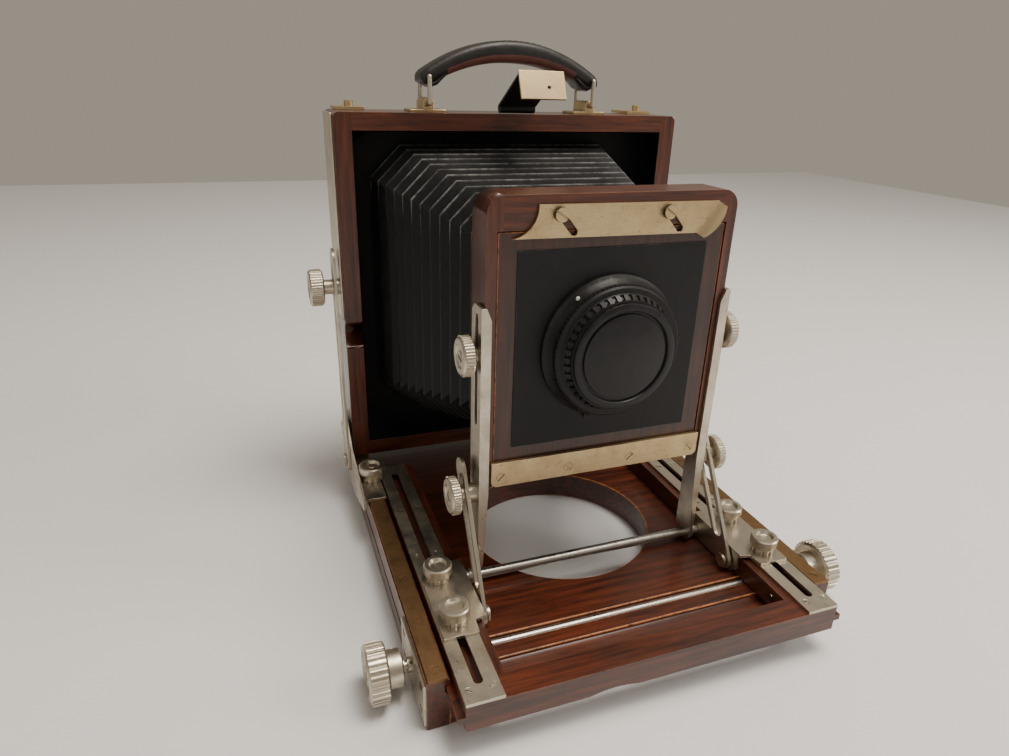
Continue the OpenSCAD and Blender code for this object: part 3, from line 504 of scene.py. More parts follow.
def node_group(name, inputs):
    group = bpy.data.node_groups.new(name, "GeometryNodeTree")
    group.is_modifier = True
    group.interface.new_socket("Geometry", in_out="INPUT", socket_type="NodeSocketGeometry")
    for label, kind, value in inputs:
        socket = group.interface.new_socket(label, in_out="INPUT", socket_type="NodeSocket" + kind)
        if value is not None:
            socket.default_value = value
    group.interface.new_socket("Geometry", in_out="OUTPUT", socket_type="NodeSocketGeometry")
    start = group.nodes.new("NodeGroupInput")
    end = group.nodes.new("NodeGroupOutput")

    def add(kind, inputs=None, **settings):
        made = group.nodes.new(kind)
        for key, value in settings.items():
            setattr(made, key, value)
        for key, value in (inputs or {}).items():
            if isinstance(value, bpy.types.NodeSocket):
                group.links.new(value, made.inputs[key])
            else:
                made.inputs[key].default_value = value
        return made

    def finish(geometry):
        real = add("GeometryNodeRealizeInstances", {"Geometry": geometry})
        painted = add("GeometryNodeSetMaterial",
                      {"Geometry": real.outputs["Geometry"], "Material": start.outputs["Material"]})
        group.links.new(painted.outputs["Geometry"], end.inputs["Geometry"])

    return group, start, add, finish


def ribs_group():
    """Equal ribs set side by side round an axis: blocks, or round bars."""
    group, start, add, finish = node_group("Ribs round an axis", (
        ("Count", "Int", 40), ("Radius", "Float", 0.01), ("Rib", "Vector", (0.001, 0.001, 0.004)),
        ("Round", "Bool", False), ("Lean", "Float", 0.0), ("Turn", "Vector", (0, 0, 0)),
        ("Place", "Vector", (0, 0, 0)), ("Material", "Material", None)))
    ring = add("GeometryNodeMeshCircle", {
        "Vertices": start.outputs["Count"], "Radius": start.outputs["Radius"]})
    block = add("GeometryNodeMeshCube", {"Size": start.outputs["Rib"]})
    bar = add("GeometryNodeMeshCylinder", {"Vertices": 8, "Radius": 0.5, "Depth": 1.0})
    sized = add("GeometryNodeTransform", {"Geometry": bar.outputs["Mesh"], "Scale": start.outputs["Rib"]})
    shape = add("GeometryNodeSwitch", input_type="GEOMETRY")
    group.links.new(start.outputs["Round"], shape.inputs["Switch"])
    group.links.new(block.outputs["Mesh"], shape.inputs["False"])
    group.links.new(sized.outputs["Geometry"], shape.inputs["True"])
    tip = add("ShaderNodeCombineXYZ", {"Y": start.outputs["Lean"]})
    leant = add("GeometryNodeTransform", {
        "Geometry": shape.outputs["Output"], "Rotation": tip.outputs["Vector"]})
    spot = add("GeometryNodeInputPosition").outputs[0]
    outward = add("FunctionNodeAlignRotationToVector", {"Vector": spot}, axis="X")
    ribs = add("GeometryNodeInstanceOnPoints", {
        "Points": ring.outputs["Mesh"], "Instance": leant.outputs["Geometry"],
        "Rotation": outward.outputs["Rotation"]})
    set_down = add("GeometryNodeTransform", {
        "Geometry": ribs.outputs["Instances"], "Rotation": start.outputs["Turn"],
        "Translation": start.outputs["Place"]})
    finish(set_down.outputs["Geometry"])
    return group


def stitches_group():
    """Short stitches set end to end along the edges of the mesh that comes in."""
    group, start, add, finish = node_group("Stitches along an edge", (
        ("Pitch", "Float", 0.003), ("Stitch", "Vector", (0.002, 0.0005, 0.0004)),
        ("Material", "Material", None)))
    path = add("GeometryNodeMeshToCurve", {"Mesh": start.outputs["Geometry"]})
    even = add("GeometryNodeResampleCurve", {"Curve": path.outputs["Curve"]})
    even.mode = "LENGTH"
    group.links.new(start.outputs["Pitch"], even.inputs["Length"])
    bead = add("GeometryNodeMeshUVSphere", {"Segments": 8, "Rings": 6, "Radius": 0.5})
    sized = add("GeometryNodeTransform", {
        "Geometry": bead.outputs["Mesh"], "Scale": start.outputs["Stitch"]})
    tangent = add("GeometryNodeInputTangent").outputs[0]
    forward = add("FunctionNodeAlignRotationToVector", {"Vector": tangent}, axis="X")
    row = add("GeometryNodeInstanceOnPoints", {
        "Points": even.outputs["Curve"], "Instance": sized.outputs["Geometry"],
        "Rotation": forward.outputs["Rotation"]})
    finish(row.outputs["Instances"])
    return group


GROUP_TREES = {}


def grown(name, group, values, mesh=None):
    """The result of a node group as a plain mesh object."""
    made = link(name, mesh or bpy.data.meshes.new(name))
    modifier = made.modifiers.new(name, "NODES")
    modifier.node_group = GROUP_TREES[group]
    sockets = {s.name: s.identifier for s in GROUP_TREES[group].interface.items_tree if s.in_out == "INPUT"}
    for label, value in values.items():
        modifier[sockets[label]] = value
    made.data.update()
    return applied(made)


UPRIGHT_TO = {"X": (0, pi / 2, 0), "Y": (pi / 2, 0, 0), "Z": (0, 0, 0)}


def ribs(name, count, radius, size, axis, centre, finish, round_bars=False, lean=0.0):
    """Ribs of size (outward, sideways, along the axis), in millimetres, centred at radius round an axis."""
    return grown(name, "ribs", {
        "Count": count, "Radius": radius * MM, "Rib": tuple(c * MM for c in size), "Round": round_bars,
        "Lean": lean, "Turn": UPRIGHT_TO[axis], "Place": tuple(c * MM for c in centre),
        "Material": FINISHES[finish]})


# ---- wooden pieces ----


WOODS = ("wood_X", "wood_Y", "wood_Z", "matt_black")
GRAIN_X, GRAIN_Y, GRAIN_Z, INSIDE = range(4)
FRONT_OPENING = (42, 79, 165, -31.6, 0)
REAR_OPENING = (81.5, 34, 195.6, 75, 105)
FRONT_STILE = 46
REAR_STILE = 81.5
BACK_STILE = 62
GLASS_STILE = 60


def frame_grain(stile, opening=None):
    """Upright grain beyond stile mm from the middle, grain along X between. Faces that look into the
    opening (half-width, lowest and highest Z, first and last Y) are matt black."""
    def choose(centre, normal):
        if opening:
            half, low, high, first, last = opening
            level = (low + high) / 2
            across = abs(centre.x) < half + 0.3 and low - 0.3 < centre.z < high + 0.3
            inside = across and first < centre.y < last
            inward = normal.x * centre.x < -1 or normal.z * (centre.z - level) < -1
            if inside and (inward or abs(normal.y) > 0.5):
                return INSIDE
        return GRAIN_Z if abs(centre.x) > stile else GRAIN_X
    return choose


def mirrored(axis, place):
    """Cuts on both sides of the middle, where the grain turns."""
    return [(axis, side * place) for side in (-1, 1)]


def add_wooden_pieces(scene):
    edge = scene.camera_wood.edge
    bar = corners("bed_frame")[0][1] + 10.5
    front = frame_grain(FRONT_STILE, FRONT_OPENING)
    rear = frame_grain(REAR_STILE, REAR_OPENING)
    finished_copy("base_panel", edge * 0.5, plain, WOODS)
    finished_copy("side_rails", edge * 0.6, lambda c, n: GRAIN_Y, WOODS)
    finished_copy("bed_frame", edge * 0.6, lambda c, n: GRAIN_X if c.y < bar else GRAIN_Y, WOODS,
                  cuts=[("Y", bar)])
    finished_copy("lens_frame", edge * 1.5, front, WOODS, 3, mirrored("X", FRONT_STILE))
    finished_copy("lens_board", edge * 0.35, plain, ["wood_board"])
    finished_copy("rear_frame", edge, rear, WOODS, 2, mirrored("X", REAR_STILE))
    finished_copy("reversible_back", edge, frame_grain(BACK_STILE), WOODS, 2, mirrored("X", BACK_STILE))
    finished_copy("ground_glass_frame", edge, frame_grain(GLASS_STILE), WOODS, 2,
                  mirrored("X", GLASS_STILE))


# ---- plates, rods and screws ----

PLATES = ("bearing_plates", "tripod_plate", "track_plates", "foot_brackets", "front_struts", "uprights",
          "rear_brackets", "side_plates", "rear_arms", "rail_strips", "bottom_bar", "handle_plates",
          "catch_hook", "catch_leaf", "back_latches", "back_springs", "board_panel", "cocking_lever",
          "release_lever", "aperture_lever")
SCREWS = ("base_screws", "track_screws", "front_screws")
KEPT = ("pinion_shaft", "focus_racks", "tilt_rod", "foot_studs", "lens_cells", "lens_elements",
        "retaining_ring", "ground_glass", "left_handle_ring", "right_handle_ring", "left_front_nut",
        "left_back_nut", "right_front_nut", "right_back_nut", "left_rear_clamp", "right_rear_clamp")


def add_plates(scene):
    for node in PLATES:
        finished_copy(node, scene.camera_metal.edge, plain, [SLOT_OF[node]])


def finish_kept_nodes(scene):
    for node in KEPT:
        for slot in frame["nodes"][node].material_slots:
            slot.material = FINISHES[SLOT_OF[node]]


def add_screws(scene):
    """Screw heads with their rims and slots dark: grime, and painted shade in these recesses."""
    side_heads = 89.7

    def slotted(node):
        axis = 1 if node == "front_screws" else 2
        return lambda c, n: 0 if abs(n[axis]) > 0.9 or (abs(n.x) > 0.99 and abs(c.x) > side_heads) else 1
    for node in SCREWS:
        finished_copy(node, 0.00006, slotted(node), [SLOT_OF[node], "grime_and_shade"], 1)


def add_lock_plate(scene):
    finished_copy("lock_plate", scene.camera_metal.edge * 1.3, plain, ["brass"])


# ---- knobs ----


def knob_face(bm, axis, centre, side, end, radius):
    """The screw head in the middle of a knob's face, with its slot left as a gap between two halves."""
    steps = 14
    slot_turn, gap, arc = 0.4, 0.12, 0.76
    for half in (-1, 1):
        turns = [slot_turn + half * pi * (gap + arc * i / steps) for i in range(steps + 1)]
        near = [bm.verts.new(around(axis, centre, radius, end, turn)) for turn in turns]
        far = [bm.verts.new(around(axis, centre, radius * 0.94, end + side * 0.5, turn)) for turn in turns]
        bm.faces.new(far)
        bm.faces.new(list(reversed(near)))
        for i in range(steps + 1):
            j = (i + 1) % (steps + 1)
            bm.faces.new((near[i], near[j], far[j], far[i]))


def knob_span(node):
    """A knob's side of the camera, its inner end and outer face along X, its centre and its radius."""
    low, high = corners(node)
    side = 1 if high[0] > 0 else -1
    inner, face = (low[0], high[0]) if side > 0 else (high[0], low[0])
    centre = tuple((l + h) / 2 for l, h in zip(low, high))
    return side, inner, face, centre, (high[2] - low[2]) / 2


def knob_wheel(node, bm, back, face, centre, rib_count, rim, rib):
    """Finishes a knob from its turned shape, with round ribs between the back and face of its wheel."""
    wheel = solid(node + "_wheel", bm, ["nickel"])
    middle = ((back + face) / 2, centre[1], centre[2])
    teeth = ribs(node + "_ribs", rib_count, rim, rib, "X", middle, "nickel", True)
    seat(joined(node + "_finished", [wheel, teeth]), node)


def lock_knob(node, boss, disc, rib_count, rib_wide):
    """A flat lock knob: screw, boss, and a disc with a ribbed rim and a dished face."""
    side, inner, face, centre, radius = knob_span(node)
    back = face - side * disc
    foot = back - side * boss
    rim = radius - 0.35
    profile = [(0, inner), (1.6, inner), (1.6, foot), (rim * 0.42, foot), (rim * 0.42, back),
               (rim - 0.9, back), (rim, back + side * 0.7), (rim, face - side * 0.8), (rim - 0.8, face),
               (rim * 0.62, face), (rim * 0.56, face - side * 0.55), (0, face - side * 0.55)]
    bm = bmesh.new()
    turned(bm, profile, "X", centre)
    knob_face(bm, "X", centre, side, face - side * 0.6, rim * 0.3)
    knob_wheel(node, bm, back, face, centre, rib_count, rim, (0.7, rib_wide, disc - 1.7))


def focus_knob(node, rib_count):
    """A focusing knob: neck, hub with its set screw, and a coarsely ribbed wheel with a sunk outer face."""
    side, inner, face, centre, radius = knob_span(node)
    rim = radius - 0.55
    hub = inner + side * 0.8
    back = face - side * 8
    profile = [(1.9, inner), (3.2, inner), (3.2, hub), (6.6, hub), (7.2, hub + side * 0.6),
               (7.2, back), (rim - 1, back), (rim, back + side * 0.8), (rim, face - side * 0.8),
               (rim - 0.9, face), (rim - 2.4, face), (rim - 2.9, face - side * 0.8),
               (4.4, face - side * 0.8), (4.1, face - side * 0.2), (3.2, face - side * 0.2),
               (3.0, face - side * 1.6), (1.9, face - side * 1.6)]
    bm = bmesh.new()
    turned(bm, profile, "X", centre)
    knob_wheel(node, bm, back, face, centre, rib_count, rim, (1.1, 1.15, 6.3))
    bm = bmesh.new()
    place = Vector((hub + side * 3.1, centre[1], centre[2]))
    profile = [(0, 7.28), (0.7, 7.28), (0.75, 7.05), (1.15, 7.05), (1.15, 7.32), (1.6, 7.26), (1.6, 7.0),
               (0, 7.0)]
    turned(bm, profile, "Z", (0, 0, 0), 24)
    turn = Matrix.Rotation(radians(-50), 4, "X")
    for vert in bm.verts:
        vert.co = turn @ vert.co + place * MM
    seat(solid(node + "_set_screw", bm, ["steel"]), body=BODY_OF[node], slot="steel")


def add_knobs(scene):
    knobs = scene.camera_knobs
    for name in ("left", "right"):
        lock_knob(name + "_rise_knob", 1.8, 5.0, knobs.lock_ribs, 0.62)
        lock_knob(name + "_tilt_knob", 1.9, 4.6, knobs.lock_ribs, 0.62)
        lock_knob(name + "_arm_knob", 4.9, 7.0, knobs.arm_ribs, 0.72)
        focus_knob(name + "_focus_knob", knobs.focus_ribs)


# ---- lens ----


def add_lens(scene):
    low, high = corners("lens_cap")
    centre = (0, 0, (low[2] + high[2]) / 2)
    radius = (high[2] - low[2]) / 2
    front, back = low[1], high[1]
    bm = bmesh.new()
    neck, flat = radius - 2.7, radius * 0.72
    profile = [(radius - 1.65, back), (radius - 0.3, back), (radius, back - 0.3), (radius, back - 0.9),
               (radius - 0.25, back - 1.15), (radius - 1.15, back - 1.2), (neck - 0.75, front + 1.15),
               (neck - 0.1, front + 1.1), (neck + 0.15, front + 0.75), (neck, front + 0.2),
               (neck - 0.4, front), (flat + 1.5, front), (flat + 1.2, front + 0.3),
               (flat + 1.0, front + 1.2), (flat + 0.2, front + 1.2),
               (flat, front + 0.45), (flat - 0.4, front + 0.3), (0, front + 0.3), (0, front + 1.7),
               (flat + 1.2, front + 1.9), (radius - 1.65, front + 4.6)]
    turned(bm, profile, "Y", centre, 128)
    cap = solid("cap_shell", bm, ["black_plastic"])
    rise = back - front - 2.3
    middle = (0, (front + back) / 2, centre[2])
    taper = 2.6
    rib = (1.0, 1.75, sqrt(rise * rise + taper * taper))
    teeth = ribs("cap_ribs", scene.camera_lens.cap_ribs, (radius - 0.25 + neck) / 2 - 0.55, rib, "Y", middle,
                 "black_plastic", lean=-atan2(taper, rise))
    seat(joined("lens_cap_finished", [cap, teeth]), "lens_cap")

    finished_copy("shutter_body", scene.camera_metal.edge, plain, ["black_enamel"])
    step = corners("shutter_body")[0][1]
    bm = bmesh.new()
    bore, ring = 23.2, 26.9
    profile = [(bore, step + 0.6), (bore, step - 2.3), (bore + 0.6, step - 2.9), (ring - 0.7, step - 2.9),
               (ring, step - 2.2), (ring, step - 0.2), (ring + 0.4, step + 0.6)]
    turned(bm, profile, "Y", centre, 128)
    speed = solid("speed_ring_body", bm, ["black_enamel"])
    teeth = ribs("speed_ring_ribs", scene.camera_lens.ring_ribs, ring, (0.5, 0.7, 1.9), "Y",
                 (0, step - 1.2, centre[2]), "black_enamel", True)
    seat(joined("speed_ring", [speed, teeth]), body="front_frame", slot="black_enamel")
    bm = bmesh.new()
    turn, out = radians(128), 28.3
    spot = (out * cos(turn), 0, centre[2] + out * sin(turn))
    profile = [(0, step + 1.5), (0.8, step + 1.5), (0.8, step + 1.2), (0.6, step + 1.05), (0, step + 1.0)]
    turned(bm, profile, "Y", spot, 20)
    seat(solid("index_dot", bm, ["white_dot"]), body="front_frame", slot="black_enamel")


# ---- bellows ----

# the body behind each band of the bellows, the body before it, and the band's pleats
BELLOWS_ZONES = (
    ("back_box", "rear_carriage", 3), ("rear_carriage", "base", 1), ("base", "bed", 3),
    ("bed", "front_foot", 3), ("front_foot", "front_uprights", 3), ("front_uprights", "front_frame", 1),
)
BELLOWS_BACK = 97.2
BELLOWS_FRONT = -19.0
BELLOWS_PITCH = (BELLOWS_BACK - BELLOWS_FRONT) / sum(zone[2] for zone in BELLOWS_ZONES)


def bellows_size(y):
    """Half-width, bottom, top and corner cut of the bellows' ridges at a station, in millimetres."""
    t = (y - BELLOWS_FRONT) / (BELLOWS_BACK - BELLOWS_FRONT)

    def between(front, back):
        return front + (back - front) * t
    return between(40.5, 72.0), between(77.5, 44.0), between(168.5, 188.5), between(9.5, 15.5)


def bellows_outline(y, inset):
    """Points round the bellows at a station, clockwise seen from the front, with the long sides divided."""
    half, low, high, cut = bellows_size(y)
    half, low, high = half - 0.4 * inset, low + inset, high - inset
    cut -= inset * 0.45
    ends = [(-half + cut, high), (half - cut, high), (half, high - cut), (half, low + cut),
            (half - cut, low), (-half + cut, low), (-half, low + cut), (-half, high - cut)]
    points = []
    for (x0, z0), (x1, z1), parts in zip(ends, ends[1:] + ends[:1], (8, 2, 8, 2, 8, 2, 8, 2)):
        for i in range(parts):
            points.append((x0 + (x1 - x0) * i / parts, z0 + (z1 - z0) * i / parts))
    return points


def bellows_stations(first, last, depth):
    """(station, inset, painted ridge highlight) of each ring from pleat first to pleat last, rear end first.
    """
    # The third value paints a highlight on each ridge, strongest at its crest
    fold = ((0.0, depth, 0.0), (0.05, depth, 0.0), (0.42, 0.7, 0.0), (0.46, 0.1, 0.8), (0.5, 0.0, 1.0),
            (0.54, 0.1, 0.8), (0.58, 0.7, 0.0), (0.95, depth, 0.0))
    rings = []
    for pleat in range(first, last):
        back = BELLOWS_BACK - BELLOWS_PITCH * pleat
        rings += [(back - BELLOWS_PITCH * share, inset, rub_and_sheen) for share, inset, rub_and_sheen in fold]
    rings.append((BELLOWS_BACK - BELLOWS_PITCH * last, depth, 0.0))
    return rings


def bellows_band(name, first, last, depth, wall):
    """A closed band of pleated cloth between two pleats."""
    bm = bmesh.new()
    # This mask holds the painted highlight along the ridges of the cloth
    wear_and_sheen = bm.verts.layers.float.new("wear_and_sheen")
    shells = []
    for skin in (0, wall):
        rings = []
        for y, inset, rub_and_sheen in bellows_stations(first, last, depth):
            ring = []
            for i, (x, z) in enumerate(bellows_outline(y, inset + skin)):
                ripple = 0.22 * sin(0.19 * x + 1.3 * y) * sin(0.13 * z + 0.7 * y)
                slack = ripple * (1 if inset < depth else 0.3)
                vert = bm.verts.new(Vector((x, y + slack, z)) * MM)
                # Painted highlight: full strength on the ridges of the top and its corner cuts, where the
                # light falls, and 0.12 of it on the sides and bottom
                lit_top = z > bellows_size(y)[2] - bellows_size(y)[3] * 1.05
                vert[wear_and_sheen] = rub_and_sheen * (0.65 + 0.35 * sin(0.4 * x + 0.33 * z + y)) * (1 if lit_top else 0.12)
                ring.append(vert)
            rings.append(ring)
        shells.append(rings)
    count = len(shells[0][0])
    for rings in shells:
        for a, b in zip(rings, rings[1:]):
            for i in range(count):
                j = (i + 1) % count
                bm.faces.new((a[i], a[j], b[j], b[i]))
    for end in (0, -1):
        outer, inner = shells[0][end], shells[1][end]
        for i in range(count):
            j = (i + 1) % count
            bm.faces.new((outer[i], outer[j], inner[j], inner[i]))
    return solid(name, bm, ["bellows_cloth"], smooth=24)


def add_bellows(scene):
    settings = scene.camera_bellows
    depth, wall = settings.depth / MM, settings.wall / MM
    first = 0
    for number, (back_body, front_body, pleats) in enumerate(BELLOWS_ZONES):
        last = first + pleats
        band = bellows_band("bellows_band_%d" % (number + 1), first, last, depth, wall)
        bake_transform(band)
        if number == 0:
            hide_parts("bellows")
        first = last
    add_bellows_end("bellows_back_frame", BELLOWS_BACK, BELLOWS_BACK + 0.7, 79, (36.5, 193.5), depth,
                    "back_box")
    add_bellows_end("bellows_front_frame", BELLOWS_FRONT - 0.35, BELLOWS_FRONT, 45.5, (75, 171.5), depth,
                    "front_frame")


def add_bellows_end(name, near, far, half, height, depth, body):
    """The flat black frame that an end of the bellows is glued to."""
    bm = bmesh.new()
    inner = bellows_outline(near, depth + 1.0)
    count = len(inner)
    middle = sum(z for _, z in inner) / count
    layers = []
    centre = (height[0] + height[1]) / 2
    for y in (near, far):
        outer_ring, inner_ring = [], []
        for x, z in inner:
            reach = max(abs(x) / half, abs(z - middle) / ((height[1] - height[0]) / 2))
            outer_ring.append(bm.verts.new(Vector((x / reach, y, centre + (z - middle) / reach)) * MM))
            inner_ring.append(bm.verts.new(Vector((x, y, z)) * MM))
        layers.append((outer_ring, inner_ring))
    (o0, i0), (o1, i1) = layers
    for i in range(count):
        j = (i + 1) % count
        for face in ((o0[i], o0[j], i0[j], i0[i]), (o1[i], i1[i], i1[j], o1[j]),
                     (o0[i], o1[i], o1[j], o0[j]), (i0[i], i0[j], i1[j], i1[i])):
            bm.faces.new(face)
    seat(solid(name, bm, ["matt_black"]), body=body, slot="black_satin")


# ---- handle ----


def strap_stations(centre_x, ring_z, crown, thick):
    """(x, z, half-thickness, share of the full width) along a padded arch that curls over at its ends."""
    rise = crown - thick / 2 - ring_z
    arch = []
    for i in range(41):
        x = -centre_x + 2 * centre_x * i / 40
        reach = abs(x) / centre_x
        arch.append((x, ring_z + rise * (1 - reach ** 2.1), thick / 2 * (1 - 0.27 * reach ** 1.6), 1.0))
    end = thick / 2 * 0.73
    curl = []
    for degrees in (25, 48, 68, 84):
        out, back = end * sin(radians(degrees)), cos(radians(degrees))
        curl.append((centre_x + 0.75 * out, ring_z - 0.65 * out, end * back, 0.94 + 0.06 * back))
    return [(-x, z, h, w) for x, z, h, w in reversed(curl)] + arch + curl


def swept_strap(bm, stations, middle, half_wide):
    """A closed strap with rounded edges along stations in X and Z."""
    wear_and_sheen = bm.verts.layers.float.get("wear_and_sheen") or bm.verts.layers.float.new("wear_and_sheen")
    rings = []
    for i, (x, z, half, share) in enumerate(stations):
        before, after = stations[max(i - 1, 0)], stations[min(i + 1, len(stations) - 1)]
        along = Vector((after[0] - before[0], after[1] - before[1])).normalized()
        ring = []
        for k in range(32):
            c, n = cos(2 * pi * k / 32), sin(2 * pi * k / 32)
            across = half_wide * share * copysign(abs(c) ** 0.42, c)
            lift = half * copysign(abs(n) ** 0.8, n)
            vert = bm.verts.new(Vector((x - along.y * lift, middle + across, z + along.x * lift)) * MM)
            vert[wear_and_sheen] = 0.5 if 0.3 < abs(c) < 0.9 and n > 0 else 0.0
            ring.append(vert)
        rings.append(ring)
    for a, b in zip(rings, rings[1:]):
        for k in range(32):
            j = (k + 1) % 32
            bm.faces.new((a[k], a[j], b[j], b[k]))
    bm.faces.new(rings[0])
    bm.faces.new(list(reversed(rings[-1])))


def add_handle(scene):
    low, high = corners("handle_strap")
    ring_low, ring_high = corners("right_handle_ring")
    centre_x = (ring_low[0] + ring_high[0]) / 2
    ring_z = ring_high[2] - 1.1
    middle, half_wide = (low[1] + high[1]) / 2, (high[1] - low[1]) / 2
    stations = strap_stations(centre_x, ring_z, high[2] + 0.6, 10.2)
    bm = bmesh.new()
    swept_strap(bm, stations, middle, half_wide)
    for side in (-1, 1):
        tab = [(side * (centre_x + 1.0), ring_z - 2.4, 0.9, 0.9),
               (side * (centre_x - 1.5), ring_z - 3.3, 1.5, 0.93),
               (side * (centre_x - 4.0), ring_z - 2.4, 1.5, 0.93),
               (side * (centre_x - 9.0), ring_z + 1.6, 0.9, 0.9)]
        swept_strap(bm, tab[::side], middle, half_wide)
    bmesh.ops.recalc_face_normals(bm, faces=bm.faces)
    for face in bm.faces:
        if face.normal.z < -0.12 and abs(face.calc_center_median().x) < (centre_x - 9) * MM:
            face.material_index = 1
    strap = solid("handle_strap_body", bm, ["handle_leather", "handle_lining"], smooth=50)
    rows = []
    seam_out = half_wide * 0.66
    for number, side in enumerate((-1, 1)):
        bm = bmesh.new()
        verts = [bm.verts.new(Vector((x, middle + side * seam_out, z + half * 0.93 + 0.12)) * MM)
                 for x, z, half, _ in stations[8:-8]]
        for a, b in zip(verts, verts[1:]):
            bm.edges.new((a, b))
        mesh = bpy.data.meshes.new("seam_path")
        bm.to_mesh(mesh)
        bm.free()
        rows.append(grown("seam_%d" % number, "stitches", {
            "Pitch": scene.camera_handle.stitch, "Stitch": (0.0021, 0.0005, 0.0003),
            "Material": FINISHES["thread"]}, mesh))
    seat(joined("handle_strap_finished", [strap] + rows), "handle_strap")


# ---- stage ----


def area_light(name, place, aim, size, power, tint):
    data = bpy.data.lights.new(name, "AREA")
    data.shape = "RECTANGLE"
    data.size, data.size_y = size
    data.energy = power
    data.color = tint
    light = bpy.data.objects.new(name, data)
    light.location = place
    light.rotation_euler = (Vector(aim) - Vector(place)).to_track_quat("-Z", "Y").to_euler()
    bpy.context.scene.collection.objects.link(light)


def add_stage(scene):
    settings = scene.camera_stage
    reach, bottom, top = 1400, -6, -0.35
    bm = bmesh.new()
    brick(bm, (-reach, -reach, bottom), (reach, reach, top))
    mesh = bpy.data.meshes.new("floor")
    bm.to_mesh(mesh)
    bm.free()
    floor = link("floor", mesh)
    cloth = Shader("Pale floor", Base_Color=settings.floor, Roughness=0.75)
    cloth.bump(cloth.noise(9, detail=3), 0.004, 0.35)
    mesh.materials.append(cloth.material)

    world = bpy.data.worlds.new("Soft surround")
    scene.world = world
    world.use_nodes = True
    world.node_tree.nodes["Background"].inputs["Color"].default_value = (*settings.surround, 1)
    world.node_tree.nodes["Background"].inputs["Strength"].default_value = 0.6
    target = (0, 0, 0.1)
    area_light("Ceiling light", (0.25, -0.15, 1.25), target, (0.6, 0.6), 17, (1.0, 0.92, 0.82))
    area_light("Side light", (1.1, -0.55, 0.75), target, (0.5, 0.6), 8, (1.0, 0.94, 0.86))
    area_light("Window fill", (-1.0, -0.9, 0.65), target, (0.8, 0.8), 1.6, (0.9, 0.95, 1.0))

    lens = bpy.data.cameras.new("Camera")
    lens.lens = settings.focal
    lens.sensor_width = 36
    lens.clip_start = 0.01
    camera = bpy.data.objects.new("Camera", lens)
    yaw, pitch, roll = radians(-20.47), radians(90 - 23.12), radians(1.73)
    turn = Matrix.Rotation(yaw, 3, "Z") @ Matrix.Rotation(pitch, 3, "X") @ Matrix.Rotation(roll, 3, "Z")
    camera.rotation_euler = turn.to_euler()
    camera.location = (-0.1307, -0.2684, 0.2185)
    scene.collection.objects.link(camera)
    scene.camera = camera


# ---- operators ----


def prepare(scene):
    """Makes what the other steps share: the finishes and the node groups."""
    make_finishes(scene)
    GROUP_TREES["ribs"] = ribs_group()
    GROUP_TREES["stitches"] = stitches_group()


class FIELD_CAMERA_OT_prepare(bpy.types.Operator):
    """Makes the materials and the node groups"""
    bl_idname = "field_camera.prepare"
    bl_label = "Make finishes"

    def execute(self, context):
        prepare(context.scene)
        return {"FINISHED"}


class FIELD_CAMERA_OT_add_stage(bpy.types.Operator):
    """Adds the floor, the lights and the camera"""
    bl_idname = "field_camera.add_stage"
    bl_label = "Add stage"

    def execute(self, context):
        add_stage(context.scene)
        return {"FINISHED"}


class FIELD_CAMERA_OT_add_wood(bpy.types.Operator):
    """Adds the lacquered base, bed, frames and back"""
    bl_idname = "field_camera.add_wood"
    bl_label = "Add wooden pieces"

    def execute(self, context):
        add_wooden_pieces(context.scene)
        return {"FINISHED"}


class FIELD_CAMERA_OT_add_plates(bpy.types.Operator):
    """Adds the plates, brackets, arms and springs"""
    bl_idname = "field_camera.add_plates"
    bl_label = "Add metal plates"

    def execute(self, context):
        add_plates(context.scene)
        return {"FINISHED"}


class FIELD_CAMERA_OT_finish_nodes(bpy.types.Operator):
    """Gives the rods, racks, rings, nuts and glass their finish"""
    bl_idname = "field_camera.finish_nodes"
    bl_label = "Finish rods and nuts"

    def execute(self, context):
        finish_kept_nodes(context.scene)
        return {"FINISHED"}


class FIELD_CAMERA_OT_add_screws(bpy.types.Operator):
    """Adds the screws with dark rims and slots"""
    bl_idname = "field_camera.add_screws"
    bl_label = "Add screws"

    def execute(self, context):
        add_screws(context.scene)
        return {"FINISHED"}


class FIELD_CAMERA_OT_add_lock_plate(bpy.types.Operator):
    """Adds the lens board's lock plate"""
    bl_idname = "field_camera.add_lock_plate"
    bl_label = "Add lock plate"

    def execute(self, context):
        add_lock_plate(context.scene)
        return {"FINISHED"}


class FIELD_CAMERA_OT_add_knobs(bpy.types.Operator):
    """Adds the lock knobs and the focusing knobs"""
    bl_idname = "field_camera.add_knobs"
    bl_label = "Add knobs"

    def execute(self, context):
        add_knobs(context.scene)
        return {"FINISHED"}


class FIELD_CAMERA_OT_add_lens(bpy.types.Operator):
    """Adds the cap, shutter and speed ring"""
    bl_idname = "field_camera.add_lens"
    bl_label = "Add lens"

    def execute(self, context):
        add_lens(context.scene)
        return {"FINISHED"}


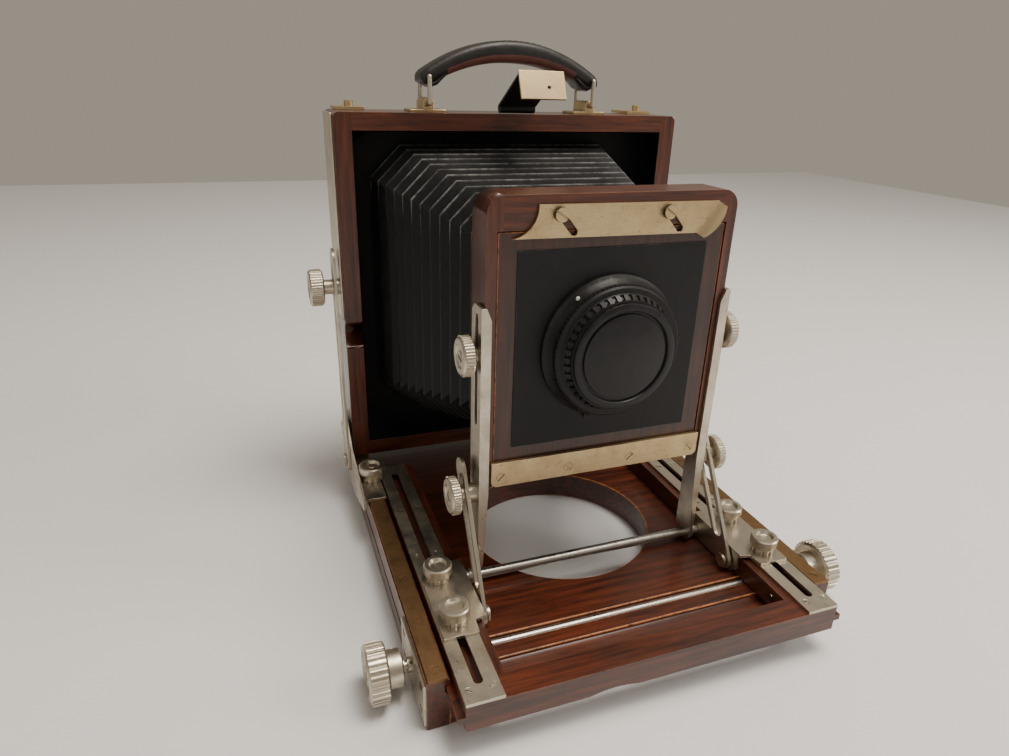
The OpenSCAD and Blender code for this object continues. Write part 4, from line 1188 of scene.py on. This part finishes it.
class FIELD_CAMERA_OT_add_bellows(bpy.types.Operator):
    """Adds the pleated bellows and its end frames"""
    bl_idname = "field_camera.add_bellows"
    bl_label = "Add bellows"

    def execute(self, context):
        add_bellows(context.scene)
        return {"FINISHED"}


class FIELD_CAMERA_OT_add_handle(bpy.types.Operator):
    """Adds the leather handle and its stitches"""
    bl_idname = "field_camera.add_handle"
    bl_label = "Add handle"

    def execute(self, context):
        add_handle(context.scene)
        return {"FINISHED"}


OPERATORS = [
    FIELD_CAMERA_OT_prepare,
    FIELD_CAMERA_OT_add_stage,
    FIELD_CAMERA_OT_add_wood,
    FIELD_CAMERA_OT_add_plates,
    FIELD_CAMERA_OT_finish_nodes,
    FIELD_CAMERA_OT_add_screws,
    FIELD_CAMERA_OT_add_lock_plate,
    FIELD_CAMERA_OT_add_knobs,
    FIELD_CAMERA_OT_add_lens,
    FIELD_CAMERA_OT_add_bellows,
    FIELD_CAMERA_OT_add_handle,
]


class FIELD_CAMERA_PT_build(bpy.types.Panel):
    """Steps that finish the camera, in order"""
    bl_label = "Field Camera"
    bl_idname = "FIELD_CAMERA_PT_build"
    bl_space_type = "VIEW_3D"
    bl_region_type = "UI"
    bl_category = "Field Camera"

    def draw(self, context):
        for step in OPERATORS:
            self.layout.operator(step.bl_idname)
        for group in GROUPS:
            box = self.layout.box()
            settings = getattr(context.scene, group)
            for name in settings.bl_rna.properties.keys():
                if name not in ("rna_type", "name"):
                    box.prop(settings, name)


def register():
    for group, settings in GROUPS.items():
        bpy.utils.register_class(settings)
        setattr(bpy.types.Scene, group, PointerProperty(type=settings))
    for item in OPERATORS + [FIELD_CAMERA_PT_build]:
        bpy.utils.register_class(item)


def unregister():
    for item in [FIELD_CAMERA_PT_build] + OPERATORS[::-1]:
        bpy.utils.unregister_class(item)
    for group, settings in GROUPS.items():
        delattr(bpy.types.Scene, group)
        bpy.utils.unregister_class(settings)


def main():
    register()
    for step in OPERATORS:
        category, action = step.bl_idname.split(".")
        getattr(getattr(bpy.ops, category), action)()


if __name__ == "__main__":
    main()
